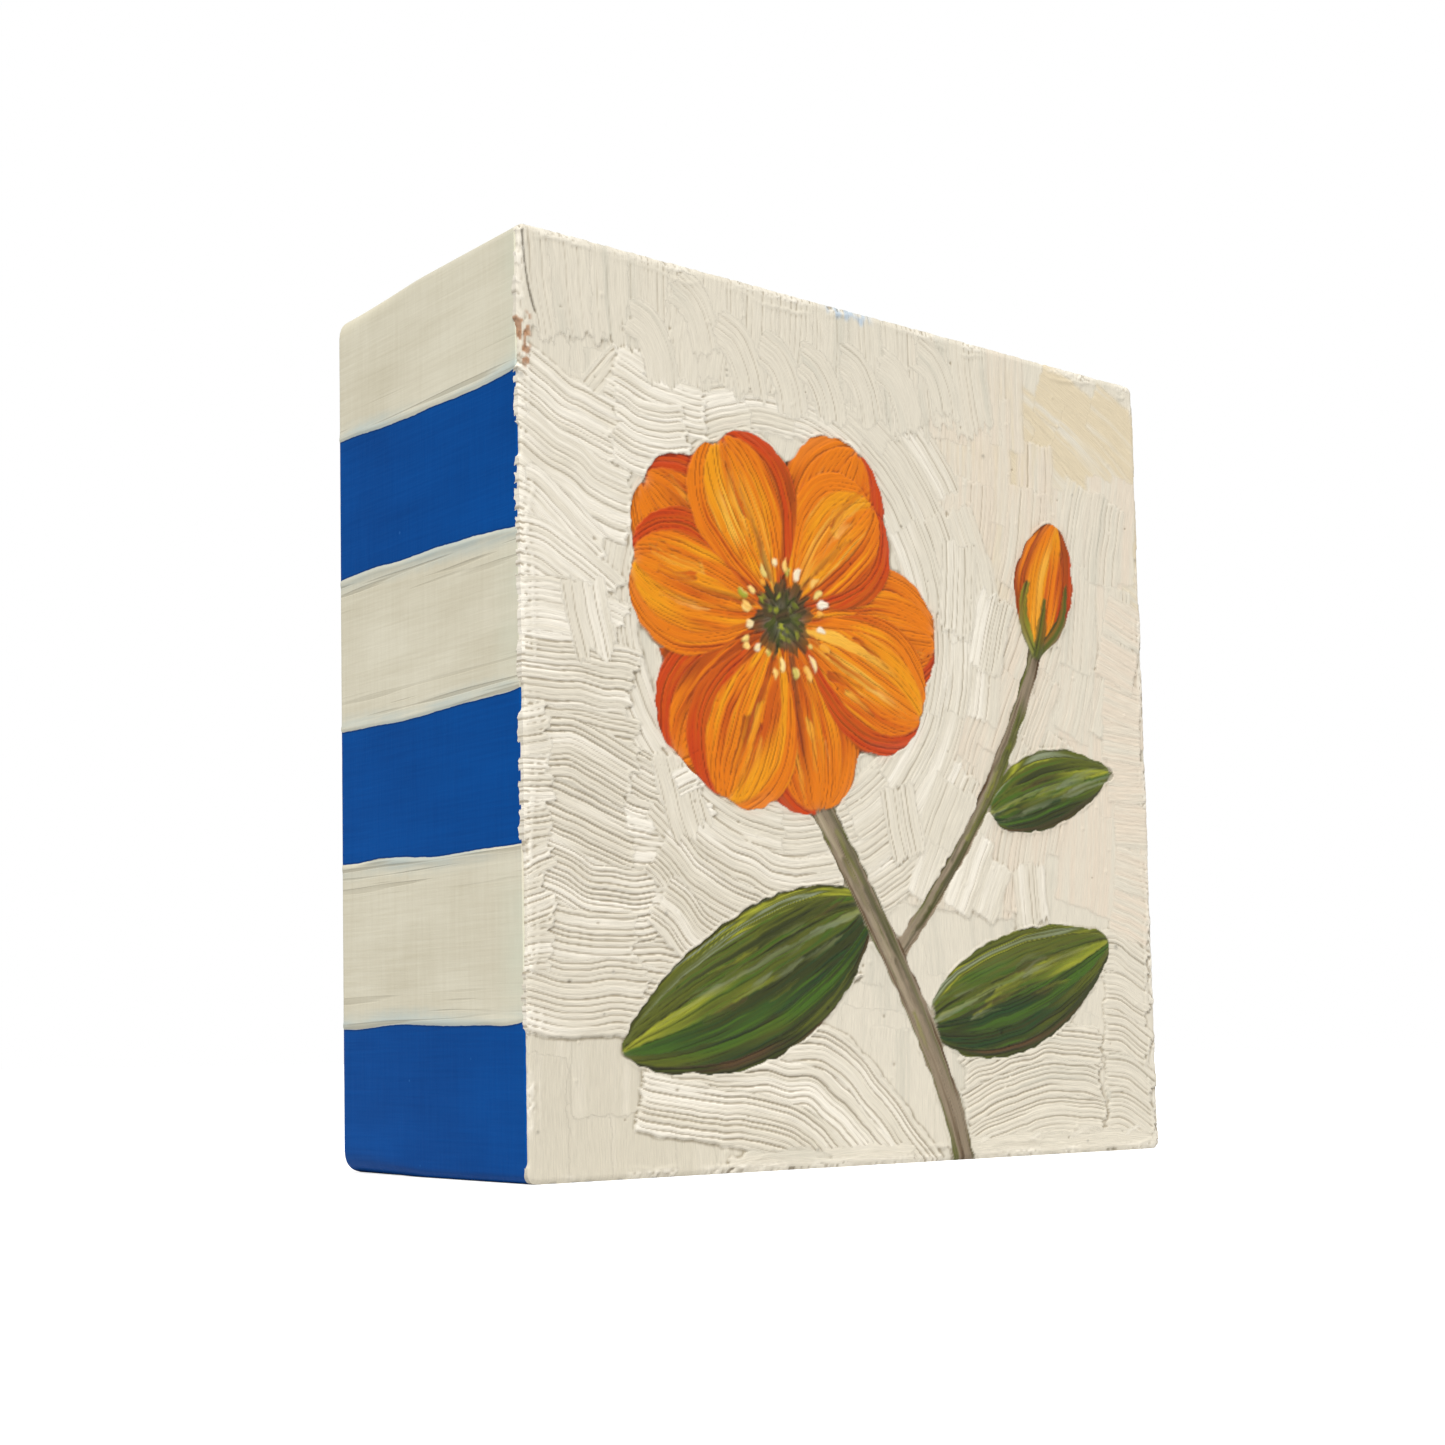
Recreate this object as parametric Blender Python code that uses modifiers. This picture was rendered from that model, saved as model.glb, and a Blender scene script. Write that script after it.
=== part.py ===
"""A small square painting panel: a plywood face on a deep cradle of four wood strips.

The front carries a thick brushed oil layer and the four sides a striped paint coat.
Metres, +Z up. The front faces -Y, and the origin is the middle of the base.
"""

import math

import bmesh
import bpy
from mathutils import Matrix, Vector

MM = 0.001

# Driving dimensions of the block, over its paint
SIZE = 101.6 * MM
DEPTH = 37.0 * MM
LONG_EDGE_RADIUS = 1.2 * MM
GAP = 0.3 * MM

# The oil layer, from its flat back to its highest ridge
OIL_THICKNESS = 1.0 * MM
OIL_RELIEF = 0.6 * MM
OIL_CELLS = 64

# The wood behind the paint
FACE_PANEL_THICKNESS = 3.2 * MM
STRIP_THICKNESS = 9.5 * MM

# The side coats and the bead of paint along each stripe's edge
COAT_THICKNESS = 0.5 * MM
BEAD_HEIGHT = 0.12 * MM
BEAD_WIDTH = 0.9 * MM
BEAD_PROFILE = ((0.0, 0.0), (0.25, 0.8), (0.5, 1.0), (1.0, 0.0))
COAT_DEPTH_CELLS = 12
CORNER_CELLS = 3

# Where each stripe's edge starts at the front and ends at the back, in millimetres: up from
# the base on the upright sides, and across from the left on the top and the base
UPRIGHT_STRIPE_EDGES = ((16.4, 16.8), (35.3, 35.7), (51.1, 51.6), (69.0, 69.8), (85.5, 86.0))
LEVEL_STRIPE_EDGES = ((20.2, 20.6), (40.9, 40.4), (61.1, 60.8), (81.0, 81.5))
STRIPE_WOBBLE = 0.2 * MM

# The bloom, leaves and bud of the generic design, as x and z on the front, in metres
BLOOM_CENTRE = Vector((-14.0, 63.0)) * MM
PETALS = 10
PETAL_LENGTH = 25.5 * MM
PETAL_HALF_WIDTH = 7.2 * MM
BLOOM_EYE_RADIUS = 5.6 * MM
STEM = ((-9.0, 42.0), (2.0, 26.0), (11.0, 12.0), (14.0, 0.0))
STEM_HALF_WIDTH = 1.5 * MM
SIDE_STEM = ((3.5, 24.5), (17.0, 38.0), (27.0, 54.0), (30.5, 66.0))
SIDE_STEM_HALF_WIDTH = 1.0 * MM
BUD_BASE = Vector((30.0, 64.0)) * MM
BUD_TIP = Vector((34.5, 81.0)) * MM
BUD_HALF_WIDTH = 5.0 * MM
LEAVES = (
    ((-1.0, 30.0), (-39.0, 13.0), 7.6),
    ((8.5, 16.0), (43.0, 27.0), 6.6),
    ((20.0, 42.0), (44.0, 49.0), 4.4),
)

FRONT_Y = -DEPTH / 2
BACK_Y = DEPTH / 2
OIL_BACK_Y = FRONT_Y + OIL_THICKNESS
FACE_FRONT_Y = OIL_BACK_Y + GAP
FACE_BACK_Y = FACE_FRONT_Y + FACE_PANEL_THICKNESS
STRIP_FRONT_Y = FACE_BACK_Y + GAP
COAT_FRONT_Y = OIL_BACK_Y + GAP
WOOD_INSET = COAT_THICKNESS + GAP

CREAM = (0.72, 0.66, 0.53, 1.0)
BLUE = (0.006, 0.085, 0.33, 1.0)
ORANGE = (0.80, 0.24, 0.015, 1.0)
OLIVE = (0.11, 0.13, 0.02, 1.0)
BIRCH = (0.62, 0.45, 0.27, 1.0)
PINE = (0.66, 0.47, 0.26, 1.0)


def clear_scene():
    for obj in list(bpy.data.objects):
        bpy.data.objects.remove(obj, do_unlink=True)


def make_material(name, colour, roughness):
    material = bpy.data.materials.new(name)
    material.use_nodes = True
    shader = material.node_tree.nodes["Principled BSDF"]
    shader.inputs["Base Color"].default_value = colour
    shader.inputs["Roughness"].default_value = roughness
    shader.inputs["Metallic"].default_value = 0.0
    material.diffuse_color = colour
    return material


def add_mesh_object(name, bm, materials, collection):
    mesh = bpy.data.meshes.new(name)
    bm.to_mesh(mesh)
    bm.free()
    for material in materials:
        mesh.materials.append(material)
    obj = bpy.data.objects.new(name, mesh)
    collection.objects.link(obj)
    return obj


def mark_for_bevel(bm, is_chosen):
    weights = bm.edges.layers.float.new("bevel_weight_edge")
    for edge in bm.edges:
        edge[weights] = 1.0 if is_chosen(edge) else 0.0


def add_bevel(obj, width):
    bevel = obj.modifiers.new("eased corners", "BEVEL")
    bevel.width = width
    bevel.segments = CORNER_CELLS
    bevel.limit_method = "WEIGHT"


def smooth_step(value):
    value = min(max(value, 0.0), 1.0)
    return value * value * (3 - 2 * value)


def distance_to_curve(point, curve_points, steps=24):
    """The shortest distance from a point to a cubic Bezier curve."""
    a, b, c, d = (Vector(p) * MM for p in curve_points)
    nearest = 1.0
    for step in range(steps + 1):
        t = step / steps
        s = 1 - t
        on_curve = a * s**3 + b * 3 * s * s * t + c * 3 * s * t * t + d * t**3
        nearest = min(nearest, (point - on_curve).length)
    return nearest


def blade_height(point, base, tip, half_width, fullness, rib_depth):
    """How full a leaf or petal is at a point: 0 outside it, near 1 along its middle."""
    along = tip - base
    length = along.length
    along = along / length
    offset = point - base
    s = offset.dot(along) / length
    if not 0.0 < s < 1.0:
        return 0.0
    across = abs(along.x * offset.y - along.y * offset.x)
    reach = half_width * math.sin(math.pi * s**fullness) ** 0.7
    if across >= reach:
        return 0.0
    dome = math.sqrt(1 - (across / reach) ** 2)
    rib = rib_depth * (1 - smooth_step(across / (0.35 * half_width)))
    return dome * (1 - rib)


def bloom_height(point):
    """The petals lie round the eye, every other one a little shorter and lower."""
    tallest = 0.0
    for petal in range(PETALS):
        angle = math.tau * petal / PETALS + 0.22 * math.sin(2.3 * petal)
        outward = Vector((math.cos(angle), math.sin(angle)))
        length = PETAL_LENGTH * (0.92 + 0.08 * math.cos(2.9 * petal))
        base = BLOOM_CENTRE + outward * 2.0 * MM
        tip = BLOOM_CENTRE + outward * length
        fullness = blade_height(point, base, tip, PETAL_HALF_WIDTH, 1.5, 0.25)
        tallest = max(tallest, fullness * (0.75 + 0.1 * (petal % 2)))
    from_eye = (point - BLOOM_CENTRE).length / BLOOM_EYE_RADIUS
    if from_eye < 1.0:
        tallest = max(tallest, 0.7 + 0.3 * math.sqrt(1 - from_eye**2))
    return tallest


def foliage_height(point):
    """The leaves and both stems, with a groove along each leaf's rib."""
    tallest = 0.0
    for base, tip, half_width in LEAVES:
        base, tip = Vector(base) * MM, Vector(tip) * MM
        fullness = blade_height(point, base, tip, half_width * MM, 0.85, 0.45)
        tallest = max(tallest, 0.6 * fullness)
    for curve, half_width in ((STEM, STEM_HALF_WIDTH), (SIDE_STEM, SIDE_STEM_HALF_WIDTH)):
        nearness = 1 - distance_to_curve(point, curve) / half_width
        tallest = max(tallest, 0.65 * smooth_step(nearness + 0.35))
    return tallest


def bud_height(point):
    return 0.75 * blade_height(point, BUD_BASE, BUD_TIP, BUD_HALF_WIDTH, 0.9, 0.2)


def ground_height(point):
    """Broad swells left by the brush: nearly level strokes at the left, upright at the right."""
    x, z = point.x / MM, point.y / MM
    level = math.sin(z * 1.15 + 1.4 * math.sin(x * 0.09) + 0.05 * x)
    upright = math.sin(x * 0.95 + 1.2 * math.sin(z * 0.07))
    blend = smooth_step((x + 12.0) / 30.0)
    return 0.20 + 0.10 * ((1 - blend) * level + 0.6 * blend * upright)


def paint_at(point):
    """The height, from 0 to 1, and the paint, 0 ground, 1 bloom, 2 foliage, at a point."""
    heights = (0.0, max(bloom_height(point), bud_height(point)), foliage_height(point))
    ground = ground_height(point)
    paint = max(range(3), key=lambda index: heights[index])
    if heights[paint] == 0.0:
        paint = 0
    return ground + heights[paint] * (1 - ground), paint


def is_corner_edge(edge, reach):
    """Whether an edge runs from front to back at a corner of a square seen from the front."""
    start, end = (vert.co for vert in edge.verts)
    runs_back = abs(start.x - end.x) + abs(start.z - end.z) < 1e-6
    return runs_back and abs(start.x) > reach - 1e-6 and abs(start.z - SIZE / 2) > reach - 1e-6


def build_oil_layer(collection, paints):
    """One film with its relief in front and a flat back."""
    bm = bmesh.new()
    bmesh.ops.create_grid(bm, x_segments=OIL_CELLS, y_segments=OIL_CELLS, size=SIZE / 2)
    heights = {}
    for vert in bm.verts:
        point = Vector((vert.co.x, vert.co.y + SIZE / 2))
        heights[vert] = paint_at(point)[0]
        vert.co = Vector((point.x, 0.0, point.y))
    highest = max(heights.values())
    front_faces = bm.faces[:]
    copy = bmesh.ops.extrude_face_region(bm, geom=front_faces, use_keep_orig=True)
    back_faces = [item for item in copy["geom"] if isinstance(item, bmesh.types.BMFace)]
    back_verts = {vert for face in back_faces for vert in face.verts}
    for vert in back_verts:
        vert.co.y = OIL_BACK_Y
    for vert, height in heights.items():
        vert.co.y = FRONT_Y + OIL_RELIEF * (1 - height / highest)
    for face in front_faces:
        centre = face.calc_center_median()
        face.material_index = paint_at(Vector((centre.x, centre.z)))[1]
    joined = bmesh.ops.dissolve_faces(bm, faces=back_faces)
    bmesh.ops.poke(bm, faces=joined["region"])
    bmesh.ops.recalc_face_normals(bm, faces=bm.faces[:])
    mark_for_bevel(bm, lambda edge: is_corner_edge(edge, SIZE / 2))
    obj = add_mesh_object("oil_layer", bm, paints, collection)
    add_bevel(obj, LONG_EDGE_RADIUS)
    obj.data.shade_smooth()
    obj.data.set_sharp_from_angle(angle=math.radians(50))


def build_block(name, low, high, material, collection):
    """A wood piece between two corners, with its edges on the block's own corners eased."""
    bm = bmesh.new()
    bmesh.ops.create_cube(bm, size=1.0)
    low, high = Vector(low), Vector(high)
    size = high - low
    bmesh.ops.scale(bm, vec=size, verts=bm.verts)
    bmesh.ops.translate(bm, vec=(low + high) / 2, verts=bm.verts)
    outer = SIZE / 2 - WOOD_INSET
    mark_for_bevel(bm, lambda edge: is_corner_edge(edge, outer))
    obj = add_mesh_object(name, bm, [material], collection)
    add_bevel(obj, LONG_EDGE_RADIUS - COAT_THICKNESS)


def build_wood(collection, birch, pine):
    """The face panel, and butt-jointed strips: the upright ones run the full height."""
    outer = SIZE / 2 - WOOD_INSET
    inner = outer - STRIP_THICKNESS
    middle = SIZE / 2
    build_block(
        "face_panel",
        (-outer, FACE_FRONT_Y, middle - outer),
        (outer, FACE_BACK_Y, middle + outer),
        birch,
        collection,
    )
    for name, sign in (("cradle_left", -1), ("cradle_right", 1)):
        near, far = sorted((sign * inner, sign * outer))
        low = (near, STRIP_FRONT_Y, middle - outer)
        high = (far, BACK_Y, middle + outer)
        build_block(name, low, high, pine, collection)
    for name, sign in (("cradle_bottom", -1), ("cradle_top", 1)):
        near, far = sorted((middle + sign * inner, middle + sign * outer))
        low = (GAP - inner, STRIP_FRONT_Y, near)
        high = (inner - GAP, BACK_Y, far)
        build_block(name, low, high, pine, collection)


def stripe_edge_at(edge, which, share):
    """Where a hand-painted stripe's edge runs, at a share of the way from front to back."""
    front, back = edge
    wave = math.sin(5.1 * share + 2.1 * which) + 0.5 * math.sin(11.0 * share + which)
    return (front + (back - front) * share) * MM + STRIPE_WOBBLE * wave


def bead_rows(edges, first_is_blue):
    """Rows across a coat, in order: the number of a stripe's edge, offset from it, and rise.

    The bead lies on the cream side of each edge.
    """
    rows = []
    for which in range(len(edges)):
        blue_is_before = (which % 2 == 0) == first_is_blue
        side = 1 if blue_is_before else -1
        found = [(which, side * share * BEAD_WIDTH, rise) for share, rise in BEAD_PROFILE]
        rows += sorted(found, key=lambda row: row[1])
    return rows


def corner_points():
    """Half of a rounded corner as (t, n), from near the mitre to the side's flat."""
    inner_radius = LONG_EDGE_RADIUS - COAT_THICKNESS
    start = math.pi / 4 + math.asin(GAP / 2 / inner_radius)
    centre = SIZE / 2 - LONG_EDGE_RADIUS
    points = []
    for step in range(CORNER_CELLS + 1):
        angle = start + (math.pi / 2 - start) * step / CORNER_CELLS
        along = centre + LONG_EDGE_RADIUS * math.cos(angle)
        points.append((along, centre + LONG_EDGE_RADIUS * math.sin(angle)))
    return points


def coat_section(edges, rows, bead_height, share):
    """The coat's outer line as (t, n), mitre to mitre, at a share of the way to the back.

    t runs along the side from its middle, and n is out from the block's middle.
    """
    corner = corner_points()
    section = [(-along, out) for along, out in corner]
    for which, offset, rise in rows:
        along = stripe_edge_at(edges[which], which, share) + offset - SIZE / 2
        section.append((along, SIZE / 2 + rise * bead_height))
    return section + corner[::-1]


def build_coat(name, quarter_turns, edges, bead_height, first_is_blue, paints, collection):
    """One side's paint coat: an open sheet from mitre to mitre, thickened inwards.

    quarter_turns are counted from the base, anticlockwise as seen from the front.
    """
    rows = bead_rows(edges, first_is_blue)
    section_count = COAT_DEPTH_CELLS + 1
    shares = [step / COAT_DEPTH_CELLS for step in range(section_count)]
    sections = [coat_section(edges, rows, bead_height, share) for share in shares]
    last = len(sections[0]) - 1
    bm = bmesh.new()
    bmesh.ops.create_grid(bm, x_segments=last, y_segments=COAT_DEPTH_CELLS, size=0.5)
    row_of = {vert: round((vert.co.x + 0.5) * last) for vert in bm.verts}
    edge_rows = [len(corner_points()) + at for at, row in enumerate(rows) if row[1] == 0.0]
    for face in bm.faces:
        first_row = min(row_of[vert] for vert in face.verts)
        stripe = sum(first_row >= edge_row for edge_row in edge_rows)
        face.material_index = int((stripe % 2 == 0) == first_is_blue)
    turn = Matrix.Rotation(quarter_turns * math.pi / 2, 2)
    for vert in bm.verts:
        share = vert.co.y + 0.5
        along, out = sections[round(share * COAT_DEPTH_CELLS)][row_of[vert]]
        x, z = turn @ Vector((along, -out))
        vert.co = Vector((x, COAT_FRONT_Y + (BACK_Y - COAT_FRONT_Y) * share, z + SIZE / 2))
    bmesh.ops.reverse_faces(bm, faces=bm.faces[:])
    obj = add_mesh_object(name, bm, paints, collection)
    solidify = obj.modifiers.new("coat thickness", "SOLIDIFY")
    solidify.thickness = COAT_THICKNESS
    solidify.offset = -1.0


def counted_back(edges):
    """The same stripes' edges, measured from the other end of the side."""
    return [(SIZE / MM - front, SIZE / MM - back) for front, back in reversed(edges)]


def build_coats(collection, paints):
    """The four sides, anticlockwise from the base, which is left flat to stand on."""
    upright, level = UPRIGHT_STRIPE_EDGES, LEVEL_STRIPE_EDGES
    build_coat("coat_bottom", 0, level, 0.0, True, paints, collection)
    build_coat("coat_right", 1, upright, BEAD_HEIGHT, True, paints, collection)
    build_coat("coat_top", 2, counted_back(level), BEAD_HEIGHT, False, paints, collection)
    build_coat("coat_left", 3, counted_back(upright), BEAD_HEIGHT, False, paints, collection)


def main():
    clear_scene()
    collection = bpy.data.collections.new("painted_block")
    bpy.context.scene.collection.children.link(collection)
    cream = make_material("cream_paint", CREAM, 0.55)
    blue = make_material("blue_paint", BLUE, 0.45)
    orange = make_material("orange_paint", ORANGE, 0.4)
    olive = make_material("olive_paint", OLIVE, 0.45)
    birch = make_material("birch_plywood", BIRCH, 0.65)
    pine = make_material("pine", PINE, 0.65)
    build_wood(collection, birch, pine)
    build_coats(collection, [cream, blue])
    build_oil_layer(collection, [cream, orange, olive])


main()
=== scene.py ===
"""The looks of a small painted wood block, around its fixed CAD model.

The front is a thick oil film, painted here pull by pull with a stiff flat brush. The sides
are one striped coat, and the open back shows the plywood face and its pine cradle. Lengths
are in millimetres, and each piece ends up in metres.
"""

import math
from contextlib import contextmanager
from typing import NamedTuple

import bmesh
import bpy
import numpy as np
from mathutils import Matrix, Vector


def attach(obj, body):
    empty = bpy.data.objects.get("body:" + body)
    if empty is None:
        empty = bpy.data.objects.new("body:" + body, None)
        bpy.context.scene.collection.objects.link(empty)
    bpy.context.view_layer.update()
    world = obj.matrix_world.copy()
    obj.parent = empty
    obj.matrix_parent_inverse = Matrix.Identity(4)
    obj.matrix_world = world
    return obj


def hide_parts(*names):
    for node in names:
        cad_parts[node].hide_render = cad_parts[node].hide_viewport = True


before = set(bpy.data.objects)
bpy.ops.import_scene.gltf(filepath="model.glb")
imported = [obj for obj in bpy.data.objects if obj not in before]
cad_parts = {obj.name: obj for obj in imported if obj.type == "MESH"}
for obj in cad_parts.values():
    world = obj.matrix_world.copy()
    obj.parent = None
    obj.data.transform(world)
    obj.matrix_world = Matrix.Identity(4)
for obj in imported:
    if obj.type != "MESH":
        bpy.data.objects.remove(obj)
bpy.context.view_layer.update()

MM = 0.001

# The block, as the CAD model gives it
SIZE = 101.6
HALF = SIZE / 2
DEPTH = 37.0
CORNER_RADIUS = 1.2
FLAT = HALF - CORNER_RADIUS
FRONT_Y = -DEPTH / 2
BACK_Y = DEPTH / 2

# The oil film's grid, finer upwards, where its furrows are narrowest, and its six tiles
FILM_COLUMNS = 560
FILM_ROWS = 744
TILE_COLUMNS = {"left": (0, FILM_COLUMNS // 2), "right": (FILM_COLUMNS // 2, FILM_COLUMNS)}
TILE_ROWS = {
    "lower": (0, FILM_ROWS // 3),
    "middle": (FILM_ROWS // 3, 2 * FILM_ROWS // 3),
    "upper": (2 * FILM_ROWS // 3, FILM_ROWS),
}

# Where the film's layers lie, and how far it is dragged over the coat on the sides
FILM_INSET = 0.30
FILM_BASE_Y = FRONT_Y + 0.74
FILM_BACK_Y = FRONT_Y + 1.0
FILM_THICKEST = 0.72
OVERLAP_PROUD = 0.335
OVERLAP_TUCKED = 0.12
ARRIS_DROOP = 0.07
FILM_SHARP_ANGLE = 65

# The coat on the sides: its rows, its rims and the edges of its stripes, front and back
COAT_EDGE_Y = FRONT_Y + 0.70
COAT_FILM = 0.18
COAT_SUNK = 0.022
COAT_CLEARANCE = 0.03
COAT_ROW = 0.80
COAT_FINE_ROW = 0.16
COAT_DEPTH_ROWS = 40
CORNER_STEPS = 8
RIM_STEPS = 5
BACK_EASING = 0.35
BACK_CORNER_RADIUS = 2.6
BACK_CORNER_DRAW = 0.34
BEAD_HEIGHT = 0.12
UPRIGHT_STRIPE_EDGES = ((16.4, 16.8), (35.3, 35.7), (51.1, 51.6), (69.0, 69.8), (85.5, 86.0))
LEVEL_STRIPE_EDGES = ((20.2, 20.6), (40.9, 40.4), (61.1, 60.8), (81.0, 81.5))
STRIPE_WOBBLE = 0.2
COAT_SHARP_ANGLE = 50
FRONT_CURL = 0.55
FRONT_CURL_REACH = 1.9

# The wood behind the paint. A strip is 9.5 thick in the CAD model, behind a thicker coat and
# a gap for glue, so it is 0.62 thicker here and reaches just as far in.
PANEL_BACK_Y = FRONT_Y + 4.5
STRIP_THICKNESS = 9.5 + 0.62
PINE_CORNER_RADIUS = 2.5
SANDED_EDGE = 0.22
WOOD_SHARP_ANGLE = 35
# How closely the figure of the wood lies along x, y and z
UPRIGHT_GRAIN = (170.0, 170.0, 8.0)
LEVEL_GRAIN = (8.0, 170.0, 170.0)

# The photograph's camera and the studio
IMAGE_PIXELS = 1445
SENSOR_MM = 36.0
FOCAL_PIXELS = 2148.04
VIEW_CENTRE_X = 576.97
VIEW_CENTRE_Y = 885.67
CAMERA_YAW = 37.0576
CAMERA_PITCH = 4.5125
CAMERA_ROLL = -0.8555
CAMERA_PLACE = (-0.180037, -0.198354, 0.013240)
ROOM_LIGHT = 0.40
FLOOR_SIZE = 8.0
FLOOR_PALENESS = 0.6
FLOOR_GLOW = 0.8
WINDOW_LIGHT = 1.2
WINDOW_SPREAD = 14.0
TOWARDS_WINDOW = (-0.30, -0.42, 0.856)

# The very wide brush that every pull takes its furrows from, how much further apart they
# are in an upright pull, and the steps of a pull's path
COMB_LENGTH = 440.0
COMB_STEP = 0.02
UPRIGHT_SPREAD = 0.35
PATH_STEP = 1.1

# The generic design, as x and z on the front
BLOOM = np.array([-14.0, 63.0])
PETALS = 10
PETAL_LENGTH = 25.5
PETAL_HALF_WIDTH = 7.2
EYE_RADIUS = 5.6
STEM = ((-9.0, 42.0), (2.0, 26.0), (11.0, 12.0), (14.0, 0.0))
STEM_HALF_WIDTH = 1.5
SIDE_STEM = ((3.5, 24.5), (17.0, 38.0), (27.0, 54.0), (30.5, 66.0))
SIDE_STEM_HALF_WIDTH = 1.0
BUD_BASE = np.array([30.0, 64.0])
BUD_TIP = np.array([34.5, 81.0])
BUD_HALF_WIDTH = 5.0
# Each leaf's base, tip, half width and sideways bend
LEAVES = (
    ((-1.0, 30.0), (-39.0, 13.0), 7.6, 1.4),
    ((8.5, 16.0), (43.0, 27.0), 6.6, -1.1),
    ((20.0, 42.0), (44.0, 49.0), 4.4, 0.7),
)


def paint(red, green, blue):
    """A paint as seen on a screen, 0 to 255, in the linear values that a shader reads."""
    values = np.array([red, green, blue]) / 255
    return np.where(values <= 0.04045, values / 12.92, ((values + 0.055) / 1.055) ** 2.4)


CREAM = paint(219, 211, 193)
WARM_WHITE = paint(238, 231, 216)
PINKISH_CREAM = paint(222, 208, 188)
YELLOWISH_CREAM = paint(217, 202, 172)
GREY_CREAM = paint(207, 201, 184)
DULL_CREAM = paint(209, 201, 182)
SHADOW_GREY = paint(128, 124, 116)
SCRAPED_BROWN = paint(168, 112, 66)
PALE_BLUE = paint(176, 196, 214)
BURNT_ORANGE = paint(156, 66, 4)
RED_ORANGE = paint(194, 62, 4)
DEEP_ORANGE = paint(195, 84, 2)
ORANGE = paint(223, 119, 2)
GOLDEN_ORANGE = paint(231, 149, 8)
PALE_ORANGE = paint(240, 180, 62)
PALE_YELLOW = paint(247, 214, 128)
DARK_OLIVE = paint(52, 58, 22)
OLIVE = paint(86, 92, 26)
LEAF_GREEN = paint(66, 98, 24)
DEEP_GREEN = paint(36, 66, 30)
YELLOW_GREEN = paint(158, 160, 44)
GREY_GREEN = paint(138, 146, 116)
BROWN = paint(84, 62, 36)
TAUPE = paint(142, 126, 104)
LIGHT_TAUPE = paint(186, 170, 144)

BLUE_PAINT = paint(0, 78, 155)
DARK_BLUE_PAINT = paint(0, 62, 130)
# a darker blue for the painted shadow along each stripe's edge with the cream
BLUE_EDGE_SHADOW = paint(0, 52, 108)
LIGHT_BLUE_PAINT = paint(40, 100, 170)
SIDE_CREAM = paint(220, 214, 193)
SIDE_CREAM_DEEP = paint(200, 192, 168)
EDGE_GREY = paint(172, 167, 152)
BLUE_TINGE = paint(186, 196, 190)
# grey for the cream's long streaks, partly painted shade in their grooves
STREAK_GREY_SHADE = paint(172, 165, 144)
GREEN_TINGE = paint(212, 217, 197)

PINE_PALE = paint(232, 207, 163)
PINE_DEEP = paint(205, 164, 114)
BIRCH_PALE = paint(226, 203, 164)
BIRCH_DEEP = paint(201, 170, 126)
BIRCH_FLECK = paint(150, 112, 72)
PAINT_SMUDGE = paint(220, 214, 196)

# How the ground's pulls are loaded, from grey cream to white
GROUND = (GREY_CREAM, CREAM, CREAM, CREAM)
GROUND_WHITE = (CREAM, WARM_WHITE, CREAM, WARM_WHITE)
GROUND_PALE = (CREAM, CREAM, WARM_WHITE)
GROUND_PINK = (CREAM, PINKISH_CREAM, CREAM)
GROUND_DULL = (DULL_CREAM, DULL_CREAM, CREAM)
GROUND_YELLOW = (YELLOWISH_CREAM, YELLOWISH_CREAM, CREAM)


class Pull(NamedTuple):
    """How one pull of the brush is made. Depths and widths are in millimetres."""

    load: float = 0.12  # the paint's thickness
    marks: float = 0.70  # the share of it that the bristles part in narrow furrows
    soft: float = 0.25  # the share that swells between them
    drag: float = 0.70  # how much the brush levels what lies beneath
    edge: float = 0.03  # the ridge left beside the pull
    end: float = 0.05  # the ridge left at its end
    fray: float = 0.60  # how ragged both ends are
    feather: float = 0.16  # how gently its sides run out
    blend: float = 0.0  # how much of the colour beneath it picks up
    pitch: float = 1.0  # how far apart its furrows are
    streak: float = 0.5  # how much its colours part
    cover: float = 1.0  # how well it hides what lies beneath
    dry: float = 0.0  # how soon it runs out of paint
    wander: float = 0.14  # how far it sways
    rough: float = 0.40  # how uneven its sides are


# The motif's pulls
UNDER_PETALS = Pull(load=0.1, marks=0.4, edge=0.02, end=0.04)
BACK_PETAL = Pull(
    load=0.13, drag=0.6, edge=0.04, end=0.06, fray=1.2, feather=0.6, blend=0.4, pitch=0.8,
    streak=1.5, rough=0.22,
)
FRONT_PETAL = BACK_PETAL._replace(load=0.16)
CREASE = Pull(
    load=0.03, marks=0.5, drag=0.3, edge=0.02, end=0.02, fray=1.5, feather=0.5, cover=0.7, dry=0.6,
)
PETAL_HAIR = CREASE._replace(feather=0.16, streak=1.0, cover=0.75, dry=0.9)
GLINT = Pull(load=0.07, marks=0.6, drag=0.3, fray=2.0, feather=0.5, blend=0.5, cover=0.6, dry=0.7)
EYE = Pull(load=0.13, end=0.08, fray=1.6, blend=0.3)
STAMEN = Pull(load=0.16, marks=0.2, edge=0.0, end=0.1, fray=0.5, feather=0.3)
EYE_MIDDLE = Pull(load=0.1, marks=0.5, fray=0.8, feather=0.5)
EYE_SPOT = Pull(load=0.1, marks=0.3, edge=0.02, end=0.08, fray=0.8, blend=0.4)
LEAF = Pull(
    load=0.13, marks=0.85, drag=0.6, edge=0.04, end=0.06, fray=1.6, feather=0.3, blend=0.25,
    pitch=0.8, streak=1.6, rough=0.22,
)
RIB = Pull(load=0.03, marks=0.5, drag=0.4, edge=0.04, end=0.02, fray=0.8, cover=0.7, dry=0.9)
LEAF_HAIR = Pull(
    load=0.04, drag=0.4, edge=0.02, end=0.02, fray=2.0, feather=0.3, blend=0.3, streak=1.2,
    cover=0.75, dry=0.7,
)
BARK = Pull(load=0.14, marks=0.6, pitch=0.7, streak=1.2, wander=0.06, rough=0.25)
BARK_SHADE = Pull(
    load=0.04, marks=0.5, drag=0.4, feather=0.4, blend=0.5, cover=0.8, dry=0.6, wander=0.08,
)
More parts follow.
